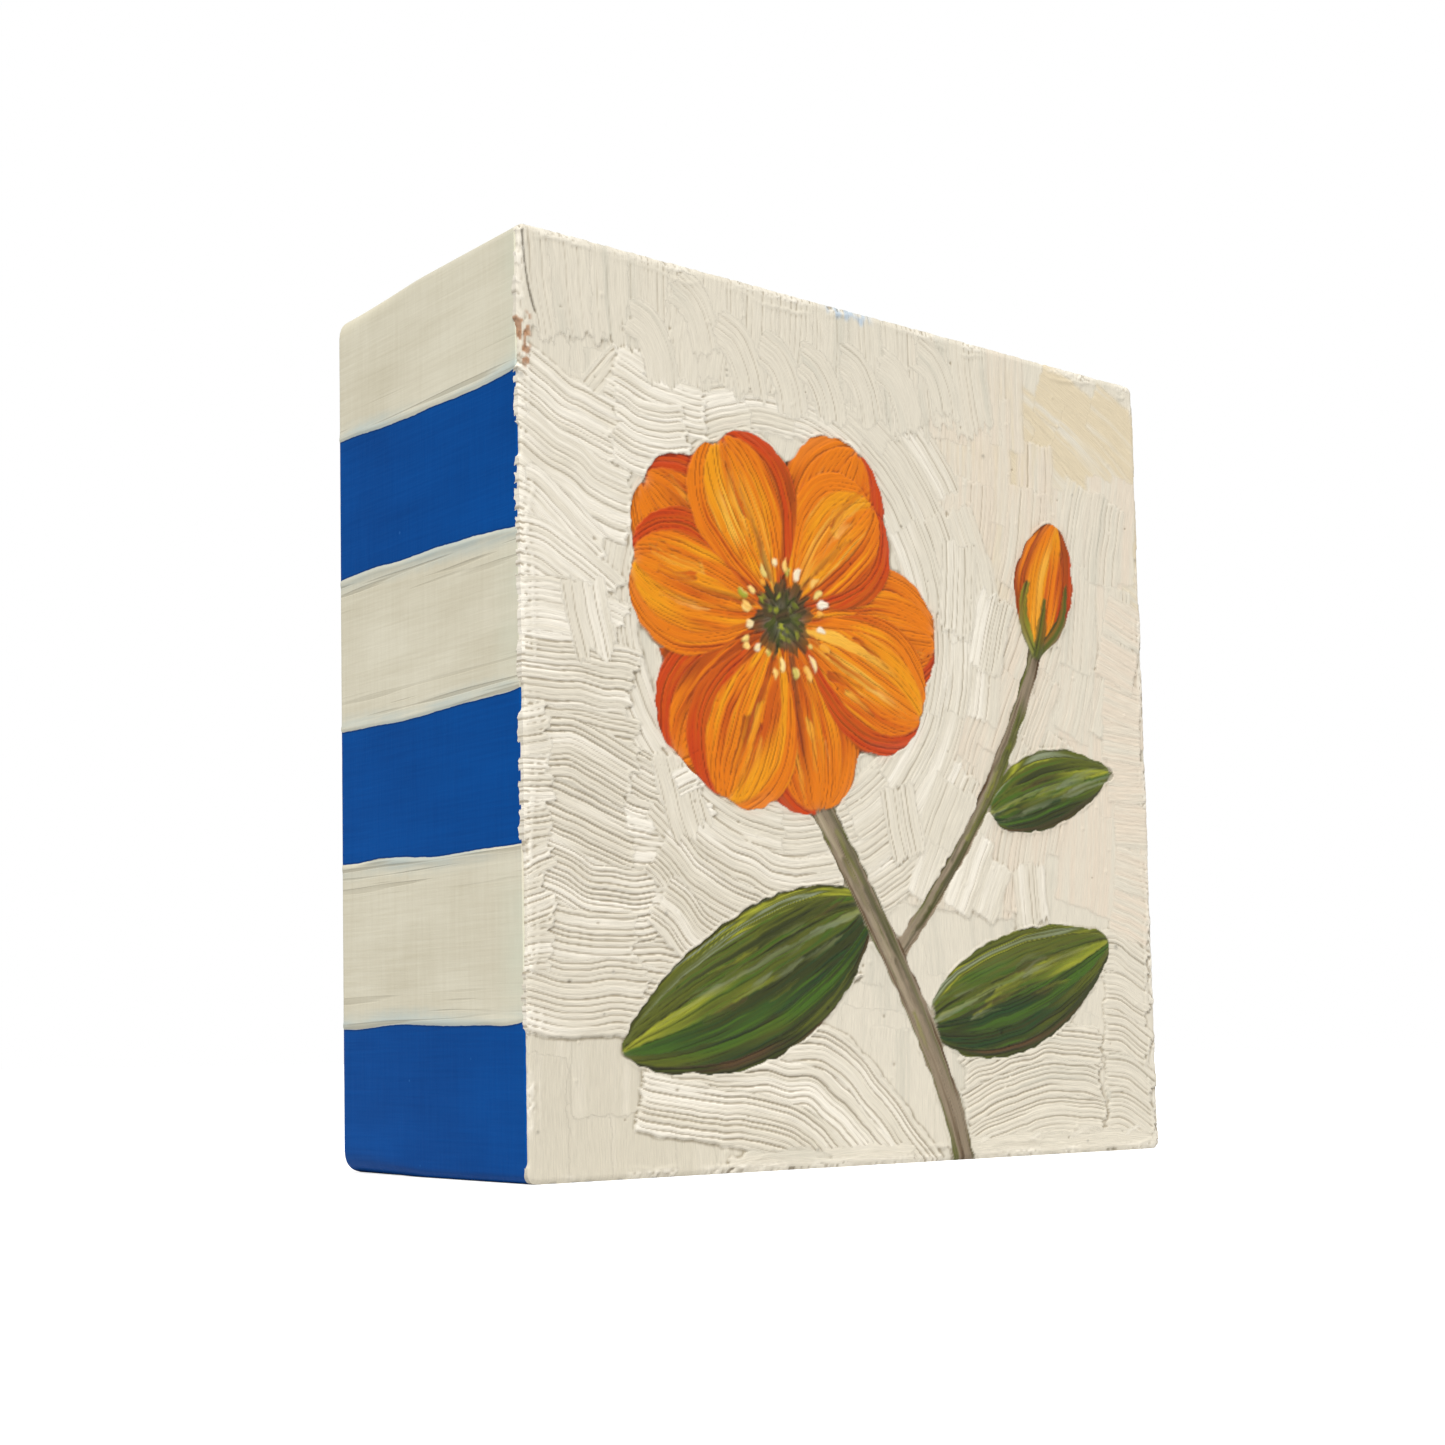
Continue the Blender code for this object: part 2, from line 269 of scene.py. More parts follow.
BARK_LIGHT = BARK_SHADE._replace(load=0.06, blend=0.4, cover=0.85)
BARK_HAIR = Pull(load=0.03, marks=0.4, drag=0.4, fray=1.8, feather=0.4, blend=0.4, cover=0.65, dry=0.6)
BUD = Pull(
    marks=0.5, drag=0.6, edge=0.05, end=0.07, fray=0.8, feather=0.5, blend=0.4, pitch=0.75,
    streak=0.9, rough=0.22,
)
SEPAL = Pull(load=0.14, marks=0.6, edge=0.05, end=0.08, fray=0.9, blend=0.25)

# The ground's pulls
SMOOTH = Pull(load=0.06, marks=0.16, soft=0.15, drag=0.85, edge=0.01, end=0.02, feather=0.9)
FIRM = Pull(load=0.11, marks=0.55, drag=0.92, edge=0.015, end=0.04, feather=0.7)
BLENDED = FIRM._replace(feather=1.5, blend=0.5)
HEAVY = Pull(load=0.22, marks=0.82, drag=0.95, edge=0.02, end=0.06, fray=1.6, feather=0.45, wander=0.34)
LIGHTER = HEAVY._replace(load=0.16, marks=0.6)
ROUND_BLOOM = Pull(soft=0.2, drag=0.92, edge=0.015, end=0.04, fray=1.4, feather=0.8, blend=0.3)
LEFT_EDGE = Pull(load=0.17, marks=0.9, soft=0.2, drag=0.9, edge=0.02, end=0.12, fray=1.6, feather=0.45)
TOP_UPRIGHT = Pull(
    load=0.1, marks=0.55, drag=0.95, edge=0.02, end=0.01, fray=2.4, feather=0.9, blend=0.3,
    pitch=0.85,
)
TOP_CURVED = Pull(
    load=0.09, marks=0.6, drag=0.92, edge=0.02, end=0.02, fray=2.0, feather=0.9, blend=0.3,
    pitch=0.85,
)
WIPED = Pull(
    load=0.11, marks=0.15, soft=0.3, drag=1.0, edge=0.04, end=0.04, fray=2.4, feather=0.4,
    blend=0.3, rough=0.8,
)
LUMP = Pull(load=0.08, marks=0.3, drag=0.3, edge=0.02, fray=1.6, feather=0.3, cover=0.7)
SHORT = Pull(soft=0.2, drag=0.92, end=0.06, fray=2.2, feather=0.6, blend=0.3, pitch=0.85)
DAB = Pull(load=0.18, marks=0.9, edge=0.05, end=0.1, fray=1.4, feather=0.4, blend=0.2)
SCORE = Pull(
    load=-0.12, marks=0.2, soft=0.0, drag=0.2, edge=0.0, end=0.0, feather=0.3, cover=0.8,
    wander=0.05, rough=0.1,
)


rng = np.random.default_rng(20)
NOISE_TABLE = rng.random((512, 512))


def ease(value, low, high):
    """0 below low, 1 above high, and smooth between."""
    share = np.clip((value - low) / (high - low), 0.0, 1.0)
    return share * share * (3 - 2 * share)


def noise(u, v):
    """Smooth random values from 0 to 1, about one swell for each unit."""
    u, v = np.broadcast_arrays(np.asarray(u, float), np.asarray(v, float))
    column, row = np.floor(u).astype(int), np.floor(v).astype(int)
    fu, fv = ease(u - column, 0, 1), ease(v - row, 0, 1)
    size = len(NOISE_TABLE)
    c0, c1, r0, r1 = column % size, (column + 1) % size, row % size, (row + 1) % size
    near = NOISE_TABLE[r0, c0] * (1 - fu) + NOISE_TABLE[r0, c1] * fu
    far = NOISE_TABLE[r1, c0] * (1 - fu) + NOISE_TABLE[r1, c1] * fu
    return near * (1 - fv) + far * fv


def sway(u, v):
    """The same noise, from -0.5 to 0.5."""
    return noise(u, v) - 0.5


def bell(distance, width):
    """1 at no distance, falling away to both sides."""
    return np.exp(-((distance / width) ** 2))


def drawn(least, more):
    return least + more * rng.random()


def scatter(spread):
    return (rng.random() - 0.5) * spread


def comb_of_bristles():
    """The furrows of one very wide brush, as a depth from 0 to 1 at even steps across it."""
    places = np.arange(0.0, COMB_LENGTH, COMB_STEP)
    depth = np.zeros_like(places)
    furrow = 0.0
    while furrow < COMB_LENGTH:
        furrow += drawn(0.44, 0.34)
        strength, half_width = drawn(0.25, 0.75), drawn(0.115, 0.045)
        near = slice(*np.searchsorted(places, (furrow - 0.4, furrow + 0.4)))
        depth[near] = np.maximum(depth[near], strength * bell(places[near] - furrow, half_width))
    return depth


COMB = comb_of_bristles()


def furrows(across, scale):
    """How deep a brush's furrows are at places across it."""
    place = np.mod(across / scale, COMB_LENGTH - 1.0)
    return np.interp(place, np.arange(len(COMB)) * COMB_STEP, COMB)


def box_mean(field, cells, axis):
    """A field averaged over a run of cells along one axis, held at its borders."""
    if cells < 1:
        return field
    reach = [(0, 0)] * field.ndim
    reach[axis] = (cells + 1, cells)
    total = np.cumsum(np.pad(field, reach, mode="edge"), axis=axis)
    width = 2 * cells + 1
    ahead = np.take(total, range(width, total.shape[axis]), axis=axis)
    behind = np.take(total, range(0, total.shape[axis] - width), axis=axis)
    return (ahead - behind) / width


def blur(field, cells, reach):
    """A field smoothed twice by a box that reaches so many millimetres each way."""
    for _ in range(2):
        field = box_mean(field, int(round(reach / cells[1])), 0)
        field = box_mean(field, int(round(reach / cells[0])), 1)
    return field


class Film:
    """Wet paint on the front: its thickness, its colour and the way its bristle marks run."""

    def __init__(self):
        across = np.linspace(-HALF, HALF, FILM_COLUMNS + 1)
        up = np.linspace(0.0, SIZE, FILM_ROWS + 1)
        self.x, self.z = np.meshgrid(across, up)
        self.cells = (across[1], up[1]) - np.array([across[0], up[0]])
        swell = noise(self.x / 21 + 3, self.z / 17 + 5)
        self.height = 0.10 + 0.04 * noise(self.x / 6, self.z / 6)
        self.colour = CREAM + (GREY_CREAM - CREAM) * swell[..., None] * 0.7
        self.across = self.x.copy()
        self.along = self.z.copy()
        self.motif = np.zeros_like(self.x)
        self.outside = None

    def window(self, path, margin):
        """The part of the grid that a path can reach, as its rows and columns."""
        low = (path.min(axis=0) - margin + (HALF, 0)) / self.cells
        high = (path.max(axis=0) + margin + (HALF, 0)) / self.cells
        first = np.maximum(low.astype(int), 0)
        last = np.minimum(high.astype(int) + 2, (FILM_COLUMNS + 1, FILM_ROWS + 1))
        return slice(first[1], last[1]), slice(first[0], last[0])

    def tint(self, pigment, share):
        """Moves the film's colour towards a pigment by a share for each point."""
        self.colour += (pigment - self.colour) * share[..., None]


def along_and_across(path, x, z):
    """How far along a path each point lies, and how far to its left."""
    nearest = np.full(x.shape, 1e9)
    along, across = np.zeros_like(x), np.zeros_like(x)
    travelled = 0.0
    last = len(path) - 2
    for index in range(len(path) - 1):
        start, step = path[index], path[index + 1] - path[index]
        length = math.hypot(*step)
        ux, uz = step / length
        dx, dz = x - start[0], z - start[1]
        reach = dx * ux + dz * uz
        held = np.clip(reach, 0.0 if index else -1e9, length if index < last else 1e9)
        distance = np.hypot(dx - ux * held, dz - uz * held)
        closer = distance < nearest
        nearest = np.where(closer, distance, nearest)
        along = np.where(closer, travelled + held, along)
        across = np.where(closer, np.copysign(distance, dz * ux - dx * uz), across)
        travelled += length
    return along, across, travelled


def resampled(points):
    """A smooth path through a few points, with even steps."""
    points = np.asarray(points, float)
    if len(points) == 2:
        dense = points[0] + np.linspace(0, 1, 30)[:, None] * (points[1] - points[0])
    else:
        padded = np.vstack([2 * points[0] - points[1], points, 2 * points[-1] - points[-2]])
        t = np.linspace(0, 1, 12, endpoint=False)[:, None]
        pieces = []
        for p0, p1, p2, p3 in zip(padded[:-3], padded[1:-2], padded[2:-1], padded[3:]):
            squared = 2 * p0 - 5 * p1 + 4 * p2 - p3
            cubed = 3 * p1 - p0 - 3 * p2 + p3
            pieces.append(0.5 * (2 * p1 + (p2 - p0) * t + squared * t**2 + cubed * t**3))
        dense = np.vstack(pieces + [points[-1:]])
    steps = np.hypot(*np.diff(dense, axis=0).T)
    travelled = np.concatenate([[0], np.cumsum(steps)])
    even = np.linspace(0, travelled[-1], max(3, int(travelled[-1] / PATH_STEP) + 1))
    return np.column_stack([np.interp(even, travelled, dense[:, axis]) for axis in (0, 1)])


def bezier(points, count):
    a, b, c, d = (np.asarray(p, float) for p in points)
    t = np.linspace(0, 1, count)[:, None]
    s = 1 - t
    return a * s**3 + b * 3 * s * s * t + c * 3 * s * t * t + d * t**3


def streaked(pigments, tone):
    """Colours from a row of pigments, at tones from 0 to 1."""
    palette = np.array(pigments)
    scale = tone * (len(palette) - 1)
    first = np.minimum(scale.astype(int), len(palette) - 2)
    share = (scale - first)[..., None]
    return palette[first] * (1 - share) + palette[first + 1] * share


def ragged_ends(across):
    """How far each hair of the brush reaches at a pull's end, from 0 to 1."""
    coarse = 0.5 * noise(across / 1.1, 4.0)
    return coarse + 0.3 * noise(across / 0.45, 14.0) + 0.2 * noise(across / 0.22, 24.0)


def stroke(film, points, width, pigments, pull, widths=None, end_pigment=None, guarded=True):
    """One pull of a stiff flat brush along some points.

    Until the film has an outside, what is painted is the motif. After that, a guarded pull
    stops at the motif's outline.
    """
    path = resampled(points)
    here = film.window(path, width / 2 + 1.2)
    x, z = film.x[here], film.z[here]
    if x.size == 0:
        return
    along, across, length = along_and_across(path, x, z)
    shift = rng.random(4) * 400
    wavering = across + pull.wander * 2 * sway(along / 3.4 + shift[0], shift[1])
    wavering = wavering + 0.10 * sway(along / 1.3 + shift[2], across / 2.2 + shift[3])

    # where it covers
    half = width / 2
    if widths is not None:
        half = half * np.interp(along / length, np.linspace(0, 1, len(widths)), widths)
    hand = np.sign(across)
    uneven = sway(along / 2.3 + shift[2], hand * 7 + 40)
    uneven = pull.rough * (uneven + 0.5 * sway(along / 0.6 + shift[1], hand * 5 + 90))
    starts = pull.fray * (ragged_ends(wavering + shift[0]) - 0.5)
    stops = length + pull.fray * 1.6 * (ragged_ends(wavering + shift[2] + 50) - 0.5)
    inside = ease(half + uneven - np.abs(across), -0.1, pull.feather)
    inside = inside * ease(along - starts, -0.25, 0.35) * ease(stops - along, -0.2, 0.3)
    held_back = guarded and film.outside is not None
    if held_back:
        push = film.outside[here] + 0.7 * sway(x / 1.1 + 9, z / 1.1)
        inside = inside * ease(push, -0.08, 0.14)
    if inside.max() <= 0.02:
        return

    # its thickness: furrows, broad swells and single hairs, over what it levels beneath
    run = np.abs(path[-1] - path[0])
    pitch = pull.pitch * (1 + UPRIGHT_SPREAD * run[1] / run.sum())
    lasting = ease(noise(wavering / 0.75 + shift[1], along / 12 + shift[0]), 0.06, 0.42)
    furrow = furrows(wavering + shift[2], pitch) * (0.15 + 0.85 * lasting)
    swell = sway(wavering / (0.62 * pitch) + shift[3], along / 15 + shift[2])
    hair = sway(wavering / 0.3 + shift[1], along / 5 + shift[0])
    profile = 1 - pull.marks * furrow + pull.soft * 1.6 * swell + 0.06 * hair
    under = film.height[here]
    weight = inside > 0.4
    level = under[weight].mean() if weight.any() else under.mean()
    laid = (under * (1 - pull.drag) + level * pull.drag) * 0.8 + pull.load * profile
    patchy = ease(noise(along / 3.1 + shift[3], shift[0]), 0.35, 0.9)
    laid = laid + pull.edge * patchy * bell(half + uneven * 0.6 - np.abs(across), 0.26)
    pushed = ease(noise(wavering / 1.1 + shift[1], shift[3]), 0.25, 0.85)
    laid = laid + pull.end * pushed * bell(stops - along - 0.3, 0.34)
    if held_back:
        brink = bell(push - 0.3, 0.28) * ease(noise(x / 1.9, z / 1.9 + 30), 0.3, 0.85)
        laid = laid + 0.10 * brink
    film.height[here] = under + (laid - under) * inside

    # its colour, streaked along the pull
    tone = noise(wavering / 1.5 + shift[0], along / 18 + shift[1])
    tone = np.clip(tone + pull.streak * sway(wavering / 0.4 + shift[3], along / 12), 0, 1)
    laid_colour = streaked(pigments, tone)
    if end_pigment is not None:
        fade = ease(along / length + 0.5 * sway(wavering / 0.7, along / 9), 0.4, 0.95)[..., None]
        laid_colour = laid_colour * (1 - fade) + end_pigment * fade
    if pull.blend:
        beneath = blur(film.colour[here], film.cells, 0.7)
        taken_up = ease(noise(wavering / 0.5 + shift[2], along / 8 + shift[3]), 0.25, 0.8) * pull.blend
        laid_colour = laid_colour * (1 - taken_up[..., None]) + beneath * taken_up[..., None]
    worn = pull.dry * (along / length) * (0.3 + furrow + noise(wavering / 0.45, along / 7))
    opacity = (inside * np.clip(pull.cover - worn, 0, 1))[..., None]
    film.colour[here] = film.colour[here] * (1 - opacity) + laid_colour * opacity
    taken = inside > 0.5
    film.across[here] = np.where(taken, wavering + shift[0], film.across[here])
    film.along[here] = np.where(taken, along + shift[1], film.along[here])
    if film.outside is None:
        film.motif[here] = np.maximum(film.motif[here], inside)


def direction(angle):
    """A unit step at an angle, and the one to its left."""
    ahead = np.array([math.cos(angle), math.sin(angle)])
    return ahead, np.array([-ahead[1], ahead[0]])


def between(base, tip):
    """The way from one point to another: its length, its unit step and the one to its left."""
    length = math.hypot(*(tip - base))
    ahead = (tip - base) / length
    return length, ahead, np.array([-ahead[1], ahead[0]])


def fine_mark(film, start, ahead, aside, length, veer, bow, width, choices, pull, widths=None):
    """A short fine mark. length and width are each the least and how much more at most."""
    reach = start + ahead * drawn(*length) + aside * scatter(veer)
    pigments = choices[int(rng.integers(len(choices)))] if len(choices) > 1 else choices[0]
    points = [start, (start + reach) / 2 + aside * bow, reach]
    stroke(film, points, drawn(*width), pigments, pull, widths)


def blade(film, base, tip, half_width, fullness, lanes, bend, pull):
    """A petal or leaf laid in a few pulls from base to tip, in the order of its lanes.

    lanes holds (place across from -1 to 1, share of the width, pigments, end pigment).
    """
    length, ahead, left = between(base, tip)
    share = np.linspace(0.04, 0.985, 22)
    reach = half_width * np.sin(math.pi * share**fullness) ** 0.7
    for lane, (place, part, pigments, end_pigment) in enumerate(lanes):
        sideways = place * reach * (1 - part / 2) + bend * np.sin(math.pi * share)
        path = base + ahead * (share * length)[:, None] + left * sideways[:, None]
        lane_pull = pull._replace(
            blend=pull.blend * (1 - abs(place)) if lane else 0.0,
            feather=pull.feather * (1 - 0.7 * abs(place)),
        )
        stroke(film, path, reach.max() * 2 * part, pigments, lane_pull, reach / reach.max(), end_pigment)


def lay_leaves(film):
    """Three leaves pulled from base to tip, one side in shadow, the other catching the light."""
    dark = (DARK_OLIVE, DEEP_GREEN, DARK_OLIVE, LEAF_GREEN)
    middle = (DARK_OLIVE, OLIVE, LEAF_GREEN, OLIVE)
    pale = (OLIVE, YELLOW_GREEN, OLIVE, GREY_GREEN, OLIVE)
    for base, tip, half_width, bend in LEAVES:
        base, tip = np.asarray(base), np.asarray(tip)
        _, ahead, aside = between(base, tip)
        upper = 1 if tip[0] > base[0] else -1
        lanes = [
            (0.0, 0.96, (DARK_OLIVE, OLIVE, DARK_OLIVE), OLIVE),
            (-upper * 0.96, 0.28, (BROWN, DARK_OLIVE, OLIVE), DARK_OLIVE),
            (-upper * 0.6, 0.40, dark, OLIVE),
            (upper * 0.96, 0.30, pale, OLIVE),
            (upper * 0.52, 0.40, middle, OLIVE),
            (-upper * 0.2, 0.34, dark, LEAF_GREEN),
            (upper * 0.18, 0.22, middle, YELLOW_GREEN),
        ]
        blade(film, base, tip, half_width * 1.02, 0.85, lanes, bend, LEAF)
        rib = [base + (tip - base) * share + (0, 0.9 * math.sin(3 * share))
               for share in (0.0, 0.3, 0.6, 0.86)]
        stroke(film, rib, 0.7, (YELLOW_GREEN, GREY_GREEN, OLIVE), RIB)
        choices = ((GREY_GREEN, OLIVE), (DARK_OLIVE, BROWN), (YELLOW_GREEN, OLIVE))
        for _ in range(14):
            start = base + (tip - base) * drawn(0.08, 0.5) + aside * scatter(half_width * 0.8)
            fine_mark(film, start, ahead, aside, (5, 8), 1.2, 0.3, (0.6, 0.9), choices, LEAF_HAIR,
                      (0.4, 1.0, 0.8, 0.4))


def lay_stems(film):
    hairs = ((LIGHT_TAUPE, TAUPE), (OLIVE, YELLOW_GREEN), (BROWN, DARK_OLIVE))
    for curve, half_width in ((SIDE_STEM, SIDE_STEM_HALF_WIDTH), (STEM, STEM_HALF_WIDTH)):
        line = bezier(curve, 16)
        if line[-1][1] < 1:
            line = np.vstack([line, line[-1] + (0.3, -1.5)])
        for aside, lift, width, pigments, pull in (
            (0.0, 0.0, 2.5, (BROWN, TAUPE, TAUPE, OLIVE, TAUPE), BARK),
            (0.6, 0.15, 0.8, (BROWN, DARK_OLIVE, TAUPE), BARK_SHADE),
            (-0.45, 0.0, 0.9, (LIGHT_TAUPE, TAUPE, LIGHT_TAUPE), BARK_LIGHT),
        ):
            stroke(film, line + (half_width * aside, lift), half_width * width, pigments, pull)
        for _ in range(8):
            first = int(rng.integers(1, len(line) - 4))
            pigments = hairs[int(rng.integers(3))]
            points = line[first:first + 3] + (scatter(half_width * 1.1), 0)
            stroke(film, points, drawn(0.5, 0.5), pigments, BARK_HAIR)


def lay_bud(film):
    body = (DEEP_ORANGE, ORANGE, GOLDEN_ORANGE)
    lanes = [
        (0.0, 0.96, (DEEP_ORANGE, ORANGE, DEEP_ORANGE), ORANGE),
        (-0.9, 0.42, (BURNT_ORANGE, RED_ORANGE, DEEP_ORANGE), None),
        (0.9, 0.42, (DEEP_ORANGE, BURNT_ORANGE, ORANGE), None),
        (-0.3, 0.42, body, GOLDEN_ORANGE),
        (0.35, 0.36, (ORANGE, GOLDEN_ORANGE, PALE_ORANGE), ORANGE),
    ]
    blade(film, BUD_BASE, BUD_TIP, BUD_HALF_WIDTH, 0.9, lanes, 0.4, BUD)
    for side in (-1, 1, 0):
        reach = BUD_BASE + (BUD_TIP - BUD_BASE) * (0.52 if side else 0.4) + (side * 3.6, 0)
        middle = (BUD_BASE + reach) / 2 + (side * 1.8, -0.6)
        points = [BUD_BASE - (0.3, 1.2), middle, reach]
        stroke(film, points, 2.0, (OLIVE, DARK_OLIVE, YELLOW_GREEN), SEPAL, (0.6, 1.0, 0.35))


def lay_petal(film, petal):
    """One petal: its lanes, the crease up its middle, fine hairs, and glints where it is lit."""
    angle = math.tau * petal / PETALS + 0.22 * math.sin(2.3 * petal)
    outward, aside = direction(angle)
    length = PETAL_LENGTH * (0.92 + 0.08 * math.cos(2.9 * petal))
    base, tip = BLOOM + outward * 2.0, BLOOM + outward * length
    in_front = petal % 2
    lit = in_front * (0.5 + 0.5 * math.sin(angle + 0.6))
    shadow = (BURNT_ORANGE, DEEP_ORANGE, RED_ORANGE, DEEP_ORANGE)
    body, light = (BURNT_ORANGE, DEEP_ORANGE, ORANGE), (DEEP_ORANGE, ORANGE, GOLDEN_ORANGE)
    if in_front:
        body = (DEEP_ORANGE, ORANGE, ORANGE, GOLDEN_ORANGE)
    if lit > 0.4:
        light = (ORANGE, GOLDEN_ORANGE, ORANGE, PALE_ORANGE)
    lanes = [
        (0.0, 1.0, body, DEEP_ORANGE),
        (-0.92, 0.40, shadow, RED_ORANGE),
        (0.90, 0.38, body, ORANGE),
        (-0.40, 0.44, body, ORANGE),
        (0.36, 0.46, light, GOLDEN_ORANGE if in_front else ORANGE),
        (-0.05, 0.30, light if in_front else body, ORANGE),
    ]
    blade(film, base, tip, PETAL_HALF_WIDTH * 1.04, 1.5, lanes, 0.6 * math.sin(petal * 1.7),
          FRONT_PETAL if in_front else BACK_PETAL)
    crease = [base + outward * share * (length - 2) + aside * 0.5 * math.sin(4 * share + petal)
              for share in (0.12, 0.4, 0.66)]
    stroke(film, crease, 1.1, (BROWN, BURNT_ORANGE, RED_ORANGE), CREASE)
    choices = ((PALE_ORANGE, GOLDEN_ORANGE), (BURNT_ORANGE, RED_ORANGE), (GOLDEN_ORANGE, ORANGE))
    for _ in range(3):
        start = base + outward * drawn(4, 8) + aside * scatter(7)
        fine_mark(film, start, outward, aside, (5, 5), 2, 0.4, (0.5, 0.9), choices, PETAL_HAIR)
    for _ in range(int(1 + 5 * lit)):
        start = base + outward * (length * drawn(0.34, 0.2)) + aside * (rng.random() - 0.3) * 5
        fine_mark(film, start, outward, aside, (4, 4), 1.5, 0.3, (0.6, 0.8),
                  [(PALE_ORANGE, GOLDEN_ORANGE, PALE_YELLOW)], GLINT, (0.3, 1.0, 0.8, 0.3))


def lay_bloom(film):
    """A round bloom of two rings of petals, the back ring darker, worked wet in wet."""
    for degrees in range(0, 360, 30):
        outward = direction(math.radians(degrees))[0]
        points = [BLOOM + outward * 3, BLOOM + outward * 19]
        stroke(film, points, 9.0, (BROWN, BURNT_ORANGE, DEEP_ORANGE), UNDER_PETALS)
    for petal in [*range(0, PETALS, 2), 1, 5, 9, 3, 7]:
        lay_petal(film, petal)


def lay_eye(film):
    """The bloom's dark eye, with its ring of short pale stamens dabbed round it."""
    dark = (DARK_OLIVE, BROWN, DARK_OLIVE)
    for ring, count, reach, pigments in ((0.62, 15, 2.8, dark), (0.30, 9, 2.2, (BROWN, DARK_OLIVE, OLIVE))):
        for index in range(count):
            outward = direction(math.tau * (index + 0.6 * rng.random()) / count)[0]
            start = BLOOM + outward * EYE_RADIUS * ring * 0.5
            stroke(film, [start, start + outward * reach], 1.7, pigments, EYE)
    choices = ((GOLDEN_ORANGE, PALE_YELLOW), (PALE_YELLOW, WARM_WHITE), (YELLOW_GREEN, PALE_YELLOW))
    for index in range(26):
        outward, aside = direction(math.tau * (index + 0.9 * rng.random()) / 26)
        start = BLOOM + outward * EYE_RADIUS * drawn(0.78, 0.34)
        fine_mark(film, start, outward, aside, (0.8, 1.5), 0.9, 0.2, (0.75, 0.35), [choices[index % 3]],
                  STAMEN, (0.5, 1.0, 0.9, 0.5))
    stroke(film, [BLOOM - (1.2, 0.3), BLOOM + (1.1, 0.4)], 2.4, dark, EYE_MIDDLE)
    for _ in range(12):
        spot = BLOOM + (rng.random(2) - 0.5) * EYE_RADIUS * 1.1
        outward = direction(math.tau * rng.random())[0]
        stroke(film, [spot, spot + outward * 0.8], 0.7, (OLIVE, YELLOW_GREEN), EYE_SPOT)


def mark_outside(film):
    """How far each point is outside the motif, in mm, near its outline."""
    film.outside = (0.60 - blur(film.motif, film.cells, 0.55)) * 2.6


def trace(start, length, heading):
    """A path that follows a field of headings, given in degrees."""
    points = [np.asarray(start, float)]
    for _ in range(max(2, int(length / PATH_STEP))):
        points.append(points[-1] + PATH_STEP * direction(math.radians(heading(*points[-1])))[0])
    return points


def waving(middle, swing, axis, spacing):
    """A field of headings that swings about a middle one as x (axis 0) or z (axis 1) grows."""
    return lambda *place: middle + swing * math.sin(place[axis] / spacing)


def fill(film, box, heading, gap, length, width, pigments, pull):
    """Pulls over a box, in rows of about the given gaps, each a little off its place."""
    x0, z0, x1, z1 = box
    dx, dz = gap
    starts = []
    for row, z in enumerate(np.arange(z0, z1 + 0.01, dz)):
        for x in np.arange(x0 + (row % 2) * dx * 0.35, x1 + 0.01, dx):
            starts.append((x + scatter(dx * 0.35), z + scatter(dz * 0.4)))
    for index in rng.permutation(len(starts)):
        path = trace(starts[index], length * drawn(0.85, 0.4), heading)
        if rng.random() < 0.25:
            path = path[::-1]
        stroke(film, path, width * drawn(0.85, 0.35), pigments, pull)


def lay_smooth_patches(film):
    """A thin coat everywhere, then the patches where the ground stays nearly smooth."""
    for patch in (
        ((-52, -1, 50, 100), waving(84, 9, 0, 9), (8, 12), 16, 10, GROUND, SMOOTH._replace(cover=0.8)),
        # upper right: yellowish, with faint slanting marks
        ((14, 78, 48, 102), waving(-27, 8, 1, 5), (9, 5), 15, 8, GROUND_YELLOW, SMOOTH),
        # down the right edge
        ((36, 30, 50, 78), waving(86, 6, 0, 1), (6, 11), 14, 7, GROUND_PINK, SMOOTH),
        # lower left: fine upright lines
        ((-50, -1, -22, 16), waving(89, 4, 1, 3), (7, 9), 14, 9, GROUND_DULL, SMOOTH),
        # between the bloom and the side stem, then right of the bud
        ((9, 30, 30, 90), waving(76, 14, 1, 12), (6, 10), 14, 8, GROUND_PINK, BLENDED),
        ((36, 52, 47, 80), waving(70, 14, 1, 9), (6, 10), 12, 7, GROUND, BLENDED),
    ):
        fill(film, *patch)


def lay_round_bloom(film):
    """Pulls that follow the bloom's outline, the outer ring first."""

    def round_bloom(x, z):
        return math.degrees(math.atan2(z - BLOOM[1], x - BLOOM[0])) + 90

    for radius, width in ((33.5, 7.0), (29.0, 6.0), (24.6, 6.4)):
        for degrees in np.arange(-175, 180, 25):
            start = BLOOM + radius * direction(math.radians(degrees + rng.random() * 10))[0]
            path = trace(start, drawn(13, 8), round_bloom)
            stroke(film, path, width * drawn(0.9, 0.3), GROUND_PALE, ROUND_BLOOM)


